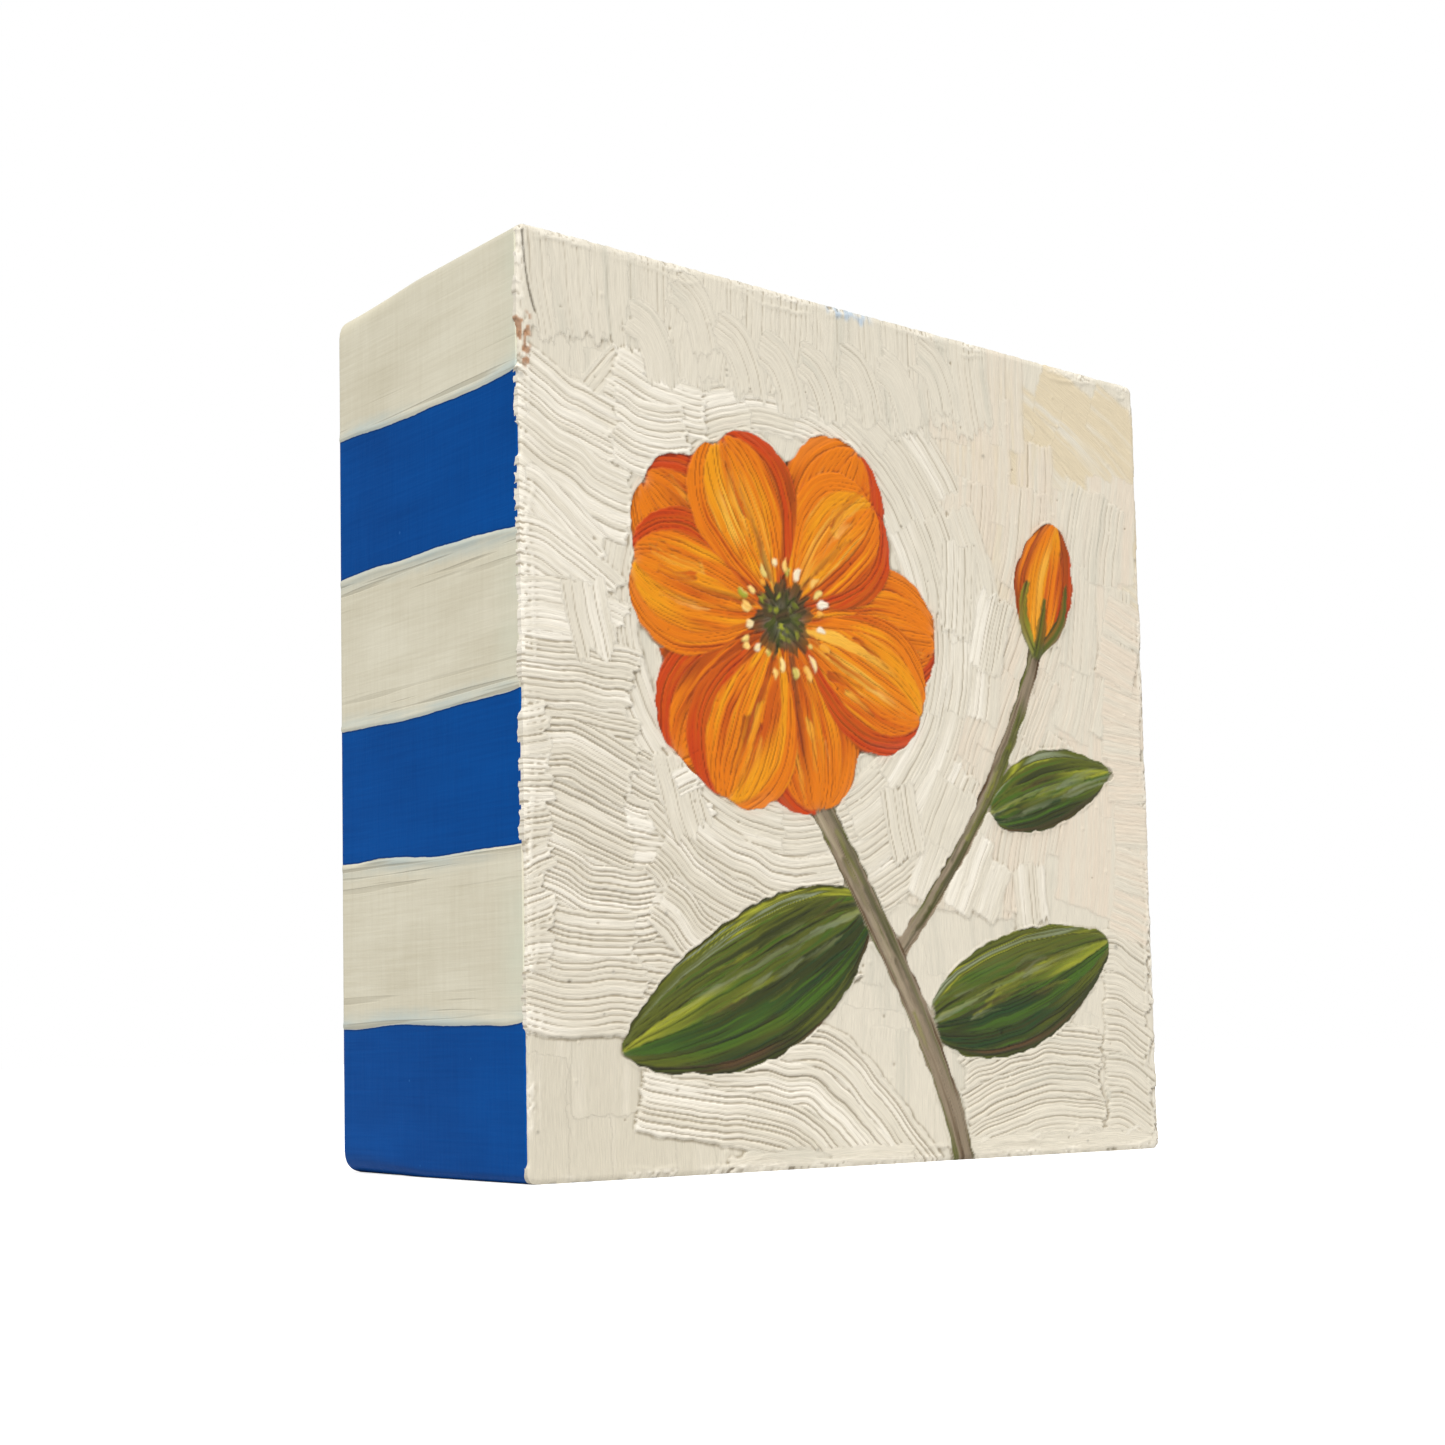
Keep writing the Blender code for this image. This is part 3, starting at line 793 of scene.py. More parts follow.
def lay_left_columns(film):
    """Nearly level heavy pulls in two columns down the left."""

    def falling(x, z):
        return -13 - 17 * math.sin(z / 8.0 + x / 6.0) + 7 * math.sin(z / 3.1 + x / 4.2)

    def gently_falling(x, z):
        return -9 - 13 * math.sin(z / 7.0 - x / 5.0)

    for left, reach, gap, low, high, heading in (
        (-37.5, 12.0, 6.4, 82, 94, gently_falling), (-37.5, 12.0, 6.2, 18, 44, gently_falling),
        (-51.6, 15.0, 6.6, 46, 92, falling), (-51.6, 16.5, 6.2, 20, 48, gently_falling),
    ):
        levels = np.arange(low, high, gap)
        levels = levels + (rng.random(len(levels)) - 0.5) * 1.5
        for z in levels[::-1]:
            start = (left + scatter(2.4) * (left > -50), z)
            path = trace(start, reach * drawn(0.86, 0.3), heading)
            pigments, pull = (GROUND_WHITE, LIGHTER) if z > 56 else (GROUND_PALE, HEAVY)
            stroke(film, path, gap * drawn(1.25, 0.2), pigments, pull)
    # short pulls up the left edge, which break the long ones about 3 mm in
    for z in np.arange(24, 47, 4.4):
        start = (-52.0, z + rng.random())
        path = trace(start, drawn(4.4, 0.8), waving(14, -10, 1, 3))
        stroke(film, path, 5.4, GROUND_PALE, LEFT_EDGE)


def lay_top_band(film):
    """Upright pulls down from the top edge, then short curved ones laid over them."""
    top = 102.4
    for x in np.arange(-49, 19, 5.6):
        lean = 5 * math.sin(x / 11)
        reach = 10.5 + 3.5 * noise(x / 7, 12.0)
        path = [(x, top), (x + lean * 0.1, top - reach * 0.5), (x + lean * 0.35, top - reach)]
        stroke(film, path, 8.0, GROUND, TOP_UPRIGHT)
    for x in np.arange(-36, 16, 6.5):
        z = drawn(91.5, 5.5)
        path = [(x, z + 2.6), (x + 2.6, z + 1.4), (x + 4.4, z - 1.6), (x + 5.0, z - 4.8)]
        stroke(film, path, 5.6, GROUND, TOP_CURVED)


def lay_lower_arcs(film):
    """Long loaded arcs under the bloom, round the big leaf and at the lower right."""
    for drop, turn in ((0.0, 0.0), (5.5, 4.0), (11.0, 6.0)):
        path = [(-33, 41), (-25, 35.5), (-14, 32 + turn * 0.2), (-4, 33 + turn * 0.5)]
        stroke(film, np.array(path) - (0, drop), 7.0, GROUND_PALE, HEAVY)
    # a swirl that follows the big leaf and runs down to the base
    swirl = (
        (-27, 11.5, 1.0, 0.4), (-17, 13.0, 0.6, 0.8), (-8, 12.5, 0.5, 1.0),
        (-1.5, 7.5, 0.5, 1.0), (5, 1.0, 0.4, 1.0), (10, -4.0, 0.3, 1.0),
    )
    for shift in (0.0, 4.6, 9.2):
        path = [(x - shift * left, z - shift * down) for x, z, left, down in swirl]
        stroke(film, path, 6.6, GROUND_PALE, HEAVY)
    fill(film, (8, 30, 18, 40), lambda x, z: 62, (5, 6), 9, 6, GROUND_PALE, FIRM)
    # two groups at the lower right
    for z in (13.0, 8.4, 4.0):
        path = [(14.5, z - 3.6), (22, z - 1.2), (31, z + 0.2), (40, z - 0.6)]
        stroke(film, path, 6.2, GROUND, HEAVY._replace(load=0.16, marks=0.8))
    for z in (24.0, 18.8, 13.6, 8.4, 3.8):
        path = [(41.0, z + 1.2), (45.0, z + 0.6), (49.6, z - 1.8)]
        stroke(film, path, 6.2, GROUND, HEAVY._replace(load=0.15, marks=0.7))
    for z in np.arange(31, 74, 5.6):
        path = trace((drawn(42.0, 2.5), z), 8, waving(-8, 10, 1, 6))
        stroke(film, path, 6.2, GROUND_PINK, FIRM._replace(marks=0.35))


def lay_base_band(film):
    """A wiped band along the base, with a ragged upper edge and a few lumps."""
    for start, end, z, width in (
        (-24, -4, 0.5, 2.6), (-9, 6, 0.6, 2.8), (15, 33, 0.8, 3.0), (28, 51, 0.7, 2.8),
    ):
        stroke(film, [(start, z), ((start + end) / 2, z + 0.4), (end, z - 0.1)], width, GROUND, WIPED)
    for x, reach in ((16.5, 4.5), (25.5, 2.6), (33.0, 6.0), (44.0, 3.2)):
        path = [(x, 1.6), (x + reach * 0.6, drawn(2.2, 0.6)), (x + reach, drawn(2.5, 0.6))]
        stroke(film, path, 0.55, (CREAM, WARM_WHITE), LUMP, (0.3, 1.0, 0.6, 0.9, 0.3), guarded=False)


def lay_short_pulls(film):
    """Upright pulls that butt against the motif, and two short thick dabs."""
    for x, z, reach, lean in (
        (-43, 64, -8, 2), (4, 45, -9, 2), (-31, 46, -9, 3),
        (16, 76, -12, -1), (27, 36, -8, 1), (20, 60, 10, 3),
    ):
        path = [(x, z), (x + lean * 0.4, z + reach * 0.5), (x + lean, z + reach)]
        stroke(film, path, 6.4, GROUND_PALE, SHORT)
    for x, z, degrees, width in ((-37.5, 38.0, -8, 2.4), (-30.5, 42.5, 24, 3.0)):
        path = trace((x, z), 4.0, lambda px, pz, turn=degrees: turn)
        stroke(film, path, width, (WARM_WHITE, WARM_WHITE, GREY_CREAM), DAB)


def scrape_edges(film):
    """Paint pushed over the front's edges, thick in places and wiped off in others."""
    to_side = HALF - np.abs(film.x)
    to_end = np.minimum(film.z, SIZE - film.z)
    to_edge = np.minimum(to_side, to_end)
    run = np.where(to_side < to_end, film.z + 37 * (film.x > 0), film.x + 211 + 37 * (film.z > HALF))
    amount = ease(noise(run / 3.3, 61.0), 0.30, 0.8) * (0.4 + 0.6 * noise(run / 0.7, 17.0))
    place = 0.25 + 1.3 * noise(run / 4.3, 5.0) + 0.3 * noise(run / 0.8, 8.0)
    film.height += 0.09 * amount * bell(to_edge - place, 0.26)
    crumbs = ease(noise(run / 0.42, to_edge / 0.35 + 29), 0.45, 0.75) * ease(0.9 - to_edge, 0.0, 0.5)
    film.height += 0.10 * amount * crumbs
    film.tint(WARM_WHITE, ease(0.9 - to_edge, 0.0, 0.6) * (0.5 + 0.5 * crumbs) * amount)


def score_corner(film):
    """A thin crease by the upper left corner, and the brown undercoat scraped bare below it."""
    crease = [(-50.3, 101.4), (-50.1, 98.0), (-49.4, 94.6), (-48.6, 92.2)]
    stroke(film, crease, 0.42, (SHADOW_GREY, SHADOW_GREY), SCORE, guarded=False)
    patch = ease(film.z, 85.6, 86.8) * ease(92.6 - film.z, 0.0, 0.8) * ease(1.9 - (film.x + HALF), 0.0, 0.9)
    bare = patch * ease(noise(film.x / 0.30, film.z / 0.62 + 40), 0.40, 0.72)
    brown = SCRAPED_BROWN * (0.6 + 0.7 * noise(film.x / 0.3, film.z / 0.35 + 9))[..., None]
    film.tint(brown, 0.8 * bare)
    film.height += 0.12 * patch * (noise(film.x / 0.42, film.z / 0.5 + 8) - 0.4)


def smear_top_edge(film):
    """A little of the top's blue wiped over the front's upper edge."""
    reach = SIZE - film.z + 1.1 * noise(film.x / 0.8, 4.0)
    along = ease(film.x, -7.5, -4.0) * ease(2.6 - film.x, 0.0, 2.5)
    broken = ease(noise(film.x / 0.5, film.z / 1.4), 0.2, 0.7)
    film.tint(PALE_BLUE, 0.75 * ease(1.7 - reach, 0.0, 0.9) * along * broken)


def scatter_specks(film):
    """Specks of dust and dried paint caught in the surface, and a few pinholes."""
    for _ in range(170):
        spot = rng.random(2) * SIZE - (HALF, 0)
        radius = 0.16 + 0.20 * rng.random() ** 2
        here = film.window(np.array([spot]), 1.0)
        bump = bell(np.hypot(film.x[here] - spot[0], film.z[here] - spot[1]), radius)
        film.height[here] += (0.08 if rng.random() < 0.7 else -0.07) * bump
        if rng.random() < 0.16:
            film.colour[here] *= 1 - 0.4 * bump[..., None]


def finish_film(film):
    """A soft limit on thickness, and the furrows darkened: partly the darker undercoat showing there,
    partly painted shade.
    """
    undercoat_and_shade = ease(blur(film.height, film.cells, 0.3) - film.height, 0.008, 0.055)[..., None]
    # the furrows' colour darkens: the undercoat showing through, and painted shade
    film.colour = film.colour * (1 - undercoat_and_shade * np.array([0.45, 0.49, 0.55]))
    film.height = FILM_THICKEST * np.tanh(film.height / FILM_THICKEST)


def paint_front():
    """The motif first, then the ground up to its outline, then what time and hands leave."""
    film = Film()
    for step in (
        lay_leaves, lay_stems, lay_bud, lay_bloom, lay_eye, mark_outside,
        lay_smooth_patches, lay_round_bloom, lay_left_columns, lay_top_band,
        lay_lower_arcs, lay_base_band, lay_short_pulls,
        scrape_edges, score_corner, smear_top_edge, scatter_specks, finish_film,
    ):
        step(film)
    return film


class Wire:
    """A socket of a material's nodes. Arithmetic on it adds Math nodes."""

    def __init__(self, finish, socket):
        self.finish, self.socket = finish, socket

    def maths(self, operation, *values):
        return self.finish.node("ShaderNodeMath", {"operation": operation}, dict(enumerate(values)))

    def __add__(self, other):
        return self.maths("ADD", self, other)

    def __sub__(self, other):
        return self.maths("SUBTRACT", self, other)

    def __rsub__(self, other):
        return self.maths("SUBTRACT", other, self)

    def __mul__(self, other):
        return self.maths("MULTIPLY", self, other)

    def __abs__(self):
        return self.maths("ABSOLUTE", self)

    __radd__ = __add__
    __rmul__ = __mul__


class Finish:
    """A material on a Principled BSDF, built node by node."""

    def __init__(self, name):
        self.material = bpy.data.materials.new(name)
        self.material.use_nodes = True
        self.tree = self.material.node_tree
        self.shader = self.tree.nodes["Principled BSDF"]
        self.place = self.node("ShaderNodeTexCoord", output="Object")

    def node(self, kind, settings=None, inputs=None, output=0):
        """Adds a node, sets it up and feeds its sockets with values or other nodes' wires."""
        made = self.tree.nodes.new(kind)
        for key, value in (settings or {}).items():
            setattr(made, key, value)
        for key, value in (inputs or {}).items():
            self.feed(made.inputs[key], value)
        return Wire(self, made.outputs[output])

    def feed(self, socket, value):
        if isinstance(value, Wire):
            self.tree.links.new(value.socket, socket)
        elif socket.type == "RGBA":
            socket.default_value = (*value, 1.0)
        else:
            socket.default_value = value

    def attribute(self, name, output):
        return self.node("ShaderNodeAttribute", {"attribute_name": name}, output=output)

    def part(self, axis):
        """One of the place's three parts."""
        return self.node("ShaderNodeSeparateXYZ", inputs={0: self.place}, output=axis)

    def noise(self, scale, vector=None, detail=2.0, roughness=0.5, distortion=0.0):
        """Noise at a scale, or at three scales, which stretch it."""
        vector = vector or self.place
        if isinstance(scale, tuple):
            vector = self.node("ShaderNodeVectorMath", {"operation": "MULTIPLY"}, {0: vector, 1: scale})
            scale = 1.0
        inputs = {"Vector": vector, "Scale": scale, "Detail": detail, "Roughness": roughness,
                  "Distortion": distortion}
        return self.node("ShaderNodeTexNoise", inputs=inputs)

    def stretch(self, value, low, high, start=0.0, end=1.0):
        """A value's range from low to high spread over another range, and held inside it."""
        inputs = {"Value": value, "From Min": low, "From Max": high, "To Min": start, "To Max": end}
        return self.node("ShaderNodeMapRange", inputs=inputs)

    def mix(self, share, first, second):
        inputs = {0: share, 6: first, 7: second}
        return self.node("ShaderNodeMix", {"data_type": "RGBA"}, inputs, output=2)

    def surface(self, colour, roughness, height, height_mm):
        """Joins what varies over the surface to the shader, with height as a bump."""
        self.feed(self.shader.inputs["Base Color"], colour)
        self.feed(self.shader.inputs["Roughness"], roughness)
        bump = self.node("ShaderNodeBump", inputs={"Height": height, "Distance": height_mm * MM})
        self.feed(self.shader.inputs["Normal"], bump)
        return self.material


def oil_finish():
    """Stiff oil paint: the painted colour, with fine bristle lines as bumps, painted shade in their furrows
    and painted highlight on their crests, and a satin skin.
    """
    finish = Finish("oil_paint")
    colour = finish.attribute("paint", "Color")
    marks = finish.attribute("bristles", "Vector")
    lines = finish.noise((7.0, 0.35, 1.0), marks, detail=3.0, roughness=0.6)
    grain = finish.noise(3200.0)
    # the colour is darker where the bristle lines sink and lighter where they rise: painted shade and
    # highlight
    tone = finish.stretch(lines, 0.3, 0.7, 0.90, 1.06)
    shaded = finish.node("ShaderNodeVectorMath", {"operation": "SCALE"}, {0: colour, "Scale": tone})
    roughness = finish.stretch(lines + grain * 0.4, 0.4, 1.0, 0.40, 0.60)
    finish.feed(finish.shader.inputs["Specular IOR Level"], 0.3)
    return finish.surface(shaded, roughness, lines + grain * 0.25, 0.045)


def striped_finish():
    """The sides' coat: cream and blue by the distance to each stripe's edge, brushed in depth."""
    finish = Finish("striped_paint")
    distance = finish.attribute("stripe", "Fac")
    wobble = finish.noise(900.0, detail=3.0) - 0.5
    edge = distance + wobble * 0.16
    is_blue = finish.stretch(edge, -0.03, 0.03)
    brushed = finish.noise((2600.0, 90.0, 2600.0), detail=3.0, roughness=0.6)
    crossed = finish.noise((150.0, 2200.0, 150.0), detail=3.0, roughness=0.6)
    broad = finish.noise((260.0, 60.0, 260.0))
    cloud = finish.noise(55.0)
    grain = finish.noise(2600.0)
    woven = brushed * 0.6 + crossed * 0.4

    # cream: deeper in places, greener by the front, tinged by the blue beside it, and streaked darker
    cream_share = finish.stretch(woven + broad * 0.6 + cloud * 0.6, 0.85, 1.45)
    cream = finish.mix(cream_share, SIDE_CREAM, SIDE_CREAM_DEEP)
    by_front = finish.stretch(finish.part("Y"), (FRONT_Y + 1.2) * MM, (FRONT_Y + 6.0) * MM, 0.6, 0.0)
    cream = finish.mix(by_front * finish.stretch(cloud + broad * 0.4, 0.55, 0.85), cream, GREEN_TINGE)
    near_edge = finish.stretch(edge + wobble * 0.8, -2.3, -0.6)
    tinged = near_edge * finish.stretch(broad + brushed * 0.3 + cloud * 0.4, 0.68, 0.95, 0.0, 0.8)
    cream = finish.mix(tinged, cream, BLUE_TINGE)
    # long streaks, greyer and sunk as grooves in the bump; their darkness is partly grey paint, partly
    # painted shade
    long_lines = finish.noise((1300.0, 40.0, 1300.0), detail=1.0)
    streak = finish.stretch(long_lines, 0.58, 0.66) * finish.stretch(edge, -4.5, -2.5) * (1 - is_blue)
    cream = finish.mix(streak * 0.55, cream, STREAK_GREY_SHADE)
    # the cream turns greyer along the block's four long corners
    from_middle = abs(finish.part("X")) + abs(finish.part("Z") - HALF * MM)
    greyed_at_corners = finish.stretch(from_middle, (SIZE - 1.3) * MM, (SIZE - 0.5) * MM, 0.0, 0.5)
    cream = finish.mix(greyed_at_corners, cream, EDGE_GREY)

    # blue: two tones, a few pale flecks, and a painted shadow, a darker blue line, where it meets the cream
    blue_share = finish.stretch(woven * 0.7 + cloud * 0.6 + broad * 0.4, 0.55, 1.15)
    blue = finish.mix(blue_share, BLUE_PAINT, DARK_BLUE_PAINT)
    flecks = finish.node("ShaderNodeTexVoronoi", inputs={"Vector": finish.place, "Scale": 260.0})
    fleck = finish.stretch(flecks, 0.035, 0.05, 1.0, 0.0) * finish.stretch(cloud, 0.5, 0.56)
    blue = finish.mix(fleck * 0.6, blue, LIGHT_BLUE_PAINT)
    # painted shadow: a thin darker blue line along the edge
    edge_shadow = finish.stretch(abs(edge - 0.1), 0.0, 0.16, 0.85, 0.0)
    blue = finish.mix(edge_shadow, blue, BLUE_EDGE_SHADOW)

    roughness = finish.stretch(woven, 0.3, 0.7, 0.42, 0.56) - is_blue * 0.08
    finish.feed(finish.shader.inputs["Specular IOR Level"], 0.05)
    height = woven + grain * 0.15 - streak * 1.2
    return finish.surface(finish.mix(is_blue, cream, blue), roughness, height, 0.03)


def pine_finish(name, scales, seed):
    """Sanded pine with growth lines along the strip, and paint dragged over its outer rim."""
    finish = Finish(name)
    moved = finish.node("ShaderNodeVectorMath", {"operation": "ADD"}, {0: finish.place, 1: (seed,) * 3})
    figure = finish.noise(scales, moved, distortion=0.4)
    rings = finish.node("ShaderNodeMath", {"operation": "SINE"}, {0: figure * 72.0})
    fibres = finish.noise(tuple(12.0 * scale for scale in scales), moved, detail=3.0)
    late_wood = finish.stretch(rings + fibres * 0.8, 0.5, 1.7)
    wood = finish.mix(late_wood, PINE_PALE, PINE_DEEP)
    wood = finish.mix(finish.stretch(fibres, 0.35, 0.75, 0.0, 0.35), wood, PINE_DEEP)
    from_side = HALF * MM - abs(finish.part("X"))
    from_end = HALF * MM - abs(finish.part("Z") - HALF * MM)
    from_edge = from_side.maths("MINIMUM", from_side, from_end)
    ragged = finish.noise(420.0, detail=4.0, roughness=0.65)
    reach = from_edge * (1 / MM) - ragged * 3.4 + 1.1
    on_rim = finish.stretch(finish.part("Y"), (BACK_Y - 0.4) * MM, (BACK_Y - 0.2) * MM)
    smudge = finish.stretch(reach, -0.1, 0.15, 0.92, 0.0) * on_rim
    colour = finish.mix(smudge, wood, PAINT_SMUDGE)
    roughness = finish.stretch(fibres, 0.3, 0.7, 0.55, 0.75)
    return finish.surface(colour, roughness, fibres + rings * 0.12 + smudge * 0.8, 0.06)


def birch_finish():
    """The plywood's inner face: pale birch with short fine flecks up its height."""
    finish = Finish("birch_plywood")
    figure = finish.noise((120.0, 120.0, 12.0), detail=3.0, distortion=0.6)
    fibres = finish.noise((2400.0, 2400.0, 90.0), detail=3.0)
    colour = finish.mix(finish.stretch(figure + fibres * 0.3, 0.45, 0.85), BIRCH_PALE, BIRCH_DEEP)
    flecks = finish.stretch(fibres, 0.66, 0.74, 0.0, 0.45)
    colour = finish.mix(flecks, colour, BIRCH_FLECK)
    roughness = finish.stretch(fibres, 0.3, 0.7, 0.55, 0.72)
    return finish.surface(colour, roughness, fibres, 0.03)


@contextmanager
def editing(action):
    """Edit mode for a few steps, with everything selected first or nothing."""
    bpy.ops.object.mode_set(mode="EDIT")
    bpy.ops.mesh.select_all(action=action)
    yield
    bpy.ops.object.mode_set(mode="OBJECT")


def vertices_of(obj):
    places = np.empty(len(obj.data.vertices) * 3, dtype=np.float32)
    obj.data.vertices.foreach_get("co", places)
    return places.reshape(-1, 3).astype(float)


def place_vertices(obj, places):
    obj.data.vertices.foreach_set("co", np.ascontiguousarray(places, dtype=np.float32).ravel())
    obj.data.update()


def face_outwards(obj):
    """Makes a closed mesh's faces agree and point out, by the volume that they hold."""
    with editing("SELECT"):
        bpy.ops.mesh.normals_make_consistent(inside=False)
    held = bmesh.new()
    held.from_mesh(obj.data)
    inside_out = held.calc_volume(signed=True) < 0
    held.free()
    if inside_out:
        with editing("SELECT"):
            bpy.ops.mesh.flip_normals()


def add_attribute(obj, name, kind, key, values):
    layer = obj.data.attributes.new(name, kind, "POINT")
    layer.data.foreach_set(key, np.ascontiguousarray(values, dtype=np.float32).ravel())


def add_layout(obj, places):
    """A flat layout for baking, from a place for each face corner."""
    layout = obj.data.uv_layers.new(name="OFBake")
    layout.uv.foreach_set("vector", np.ascontiguousarray(places, dtype=np.float32).ravel())


def extrude_border(obj):
    """Extrudes the open border, and gives the new vertices' numbers and all the places."""
    first = len(obj.data.vertices)
    with editing("DESELECT"):
        bpy.ops.mesh.select_mode(type="EDGE")
        bpy.ops.mesh.select_non_manifold()
        bpy.ops.mesh.extrude_region_move()
    places = vertices_of(obj)
    return np.arange(first, len(places)), places


def face_corners(obj):
    """Each face corner's vertex, and each face's first corner and number of corners."""
    corners = np.empty(len(obj.data.loops), dtype=np.int32)
    obj.data.loops.foreach_get("vertex_index", corners)
    starts, sizes = (np.empty(len(obj.data.polygons), dtype=np.int32) for _ in range(2))
    obj.data.polygons.foreach_get("loop_start", starts)
    obj.data.polygons.foreach_get("loop_total", sizes)
    return corners, starts, sizes


def on_flat(values):
    """Values measured from the block's middle, held clear of its rounded corners."""
    return np.clip(values, -FLAT, FLAT)


def outward_of(x, z):
    """The block's outward direction at each point of its outline, or zero inside it."""
    dx, dz = x - on_flat(x), (z - HALF) - on_flat(z - HALF)
    distance = np.hypot(dx, dz)
    near = distance > CORNER_RADIUS - FILM_INSET - 0.05
    safe = np.where(near, distance, 1.0)
    return np.where(near, dx / safe, 0.0), np.where(near, dz / safe, 0.0)


def rounded(x, z):
    """Points of the film's square sheet, drawn in so that its corners are round."""
    radius = CORNER_RADIUS - FILM_INSET
    u, v = (np.abs(x) - FLAT) / radius, (np.abs(z) - FLAT) / radius
    corner = (u > 0) & (v > 0)
    u, v = np.clip(u, 0, 1), np.clip(v, 0, 1)
    x_round = np.sign(x) * (FLAT + radius * u * np.sqrt(1 - v * v / 2))
    z_round = np.sign(z) * (FLAT + radius * v * np.sqrt(1 - u * u / 2))
    return np.where(corner, x_round, x), np.where(corner, z_round, z)


def front_surface(film):
    """The painted front as points, with its height falling away at the arris."""
    half = HALF - FILM_INSET
    x, z = film.x * half / HALF, (film.z - HALF) * half / HALF
    to_edge = half - np.maximum(np.abs(x), np.abs(z))
    y = FILM_BASE_Y - film.height + ARRIS_DROOP * (1 - ease(to_edge, -0.1, 0.35))
    x, z = rounded(x, z)
    return np.stack([x, y + (FRONT_Y - y.min()), z + HALF], axis=-1)


def smooth_normals(points):
    """The surface's own direction at each point, worked out from its neighbours."""
    across, up = np.gradient(points, axis=1), np.gradient(points, axis=0)
    normals = np.cross(across, up)
    return normals / np.linalg.norm(normals, axis=-1, keepdims=True)


def overlap(x, z):
    """How far the front's paint is dragged over the sides, from 0 to 1, in ragged spikes."""
    broad = ease(noise(x / 4.6 + 9, z / 4.6), 0.18, 0.62)
    ragged = 0.25 + 0.75 * noise(x / 0.9 + 3, z / 0.9)
    spikes = noise(x / 0.24 + 60, z / 0.24 + 5) ** 3
    on_level_edge = ease(np.abs(z - HALF), HALF - 1.5, HALF - 0.5)
    return np.clip(broad * ragged * 0.8 + 0.55 * broad * spikes + 0.3 * on_level_edge, 0.0, 1.0)


def film_rings(tile):
    """Extrudes the tile's wall: a soft arris, a lip over the side paint, then the back."""
    ring_starts = []
    outward_before = 0.0
    for ring in ("arris", "lip", "under", "back"):
        fresh, places = extrude_border(tile)
        ring_starts.append(fresh[0])
        x, y, z = places[fresh].T
        nx, nz = outward_of(x, z)
        edge_x, edge_z = x - nx * outward_before, z - nz * outward_before
        lap = overlap(edge_x, edge_z)
        lip = OVERLAP_TUCKED + (OVERLAP_PROUD - OVERLAP_TUCKED) * ease(lap, 0.02, 0.25)
        lip = lip * (0.74 + 0.38 * noise(edge_x / 0.6 + 70, edge_z / 0.6))
        lip_y = COAT_EDGE_Y + 0.05 + 0.62 * lap
        outward, y = {
            "arris": (lip - 0.03, y + 0.10),
            "lip": (lip, lip_y),
            "under": (np.zeros_like(lip), lip_y + 0.05),
            "back": (np.zeros_like(lip), np.full_like(lip, FILM_BACK_Y + 0.12)),
        }[ring]
        x, z = edge_x + nx * outward, edge_z + nz * outward
        places[fresh] = np.stack([x, y, np.maximum(z, 0.0)], axis=-1)
        place_vertices(tile, places)
        outward_before = outward
    with editing("DESELECT"):
        bpy.ops.mesh.select_non_manifold()
        bpy.ops.mesh.edge_face_add()
        bpy.ops.mesh.poke()
    return ring_starts


def film_tile(name, film, points, normals, finish, columns, rows):
    """One part of the film: the relief in front, its ragged arris, and a flat back."""
    across, up = columns[1] - columns[0], rows[1] - rows[0]
    bpy.ops.mesh.primitive_grid_add(x_subdivisions=across, y_subdivisions=up, size=1.0)
    tile = bpy.context.object
    tile.name = tile.data.name = name
    flat = vertices_of(tile)
    column = np.rint((flat[:, 0] + 0.5) * across).astype(int) + columns[0]
    row = np.rint((flat[:, 1] + 0.5) * up).astype(int) + rows[0]
    place_vertices(tile, points[row, column])
    ring_starts = film_rings(tile)
    face_outwards(tile)
    paint_tile(tile, film, row, column)
    lay_out_tile(tile, ring_starts)
    join_seams(tile, normals, row, column)
    place_vertices(tile, vertices_of(tile) * MM)
    tile.data.materials.append(finish)
    return tile


def paint_tile(tile, film, row, column):
    """Gives the tile's points their paint and the run of the bristles over them."""
    places = vertices_of(tile)
    cell_column = np.clip(np.rint((places[:, 0] + HALF) / film.cells[0]), 0, FILM_COLUMNS).astype(int)
    cell_row = np.clip(np.rint(places[:, 2] / film.cells[1]), 0, FILM_ROWS).astype(int)
    cell_column[:len(column)], cell_row[:len(row)] = column, row
    colour = np.ones((len(places), 4))
    colour[:, :3] = np.clip(film.colour[cell_row, cell_column], 0.0, 1.0)
    add_attribute(tile, "paint", "FLOAT_COLOR", "color", colour)
    marks = np.zeros((len(places), 3))
    marks[:, 0] = film.across[cell_row, cell_column]
    marks[:, 1] = film.along[cell_row, cell_column]
    add_attribute(tile, "bristles", "FLOAT_VECTOR", "vector", marks)


def lay_out_tile(tile, ring_starts):
    """Lays out the front, its wall folded out round it, and the back in a corner."""
    places = vertices_of(tile)[:, [0, 2]]
    low, high = places.min(axis=0), places.max(axis=0)
    share = (places - low) / (high - low)
    aside = share - np.clip(share, 0.02, 0.98)
    aside /= np.maximum(np.linalg.norm(aside, axis=1, keepdims=True), 1e-9)
    ring = np.searchsorted(ring_starts, np.arange(len(places)), side="right")
    spread = 0.03 + 0.94 * share + aside * (0.005 * ring)[:, None]
    corners, starts, sizes = face_corners(tile)
    middle_of_back = len(places) - 1
    at_back = np.repeat(np.maximum.reduceat(corners, starts) == middle_of_back, sizes)
    add_layout(tile, np.where(at_back[:, None], 0.001 + 0.006 * share[corners], spread[corners]))


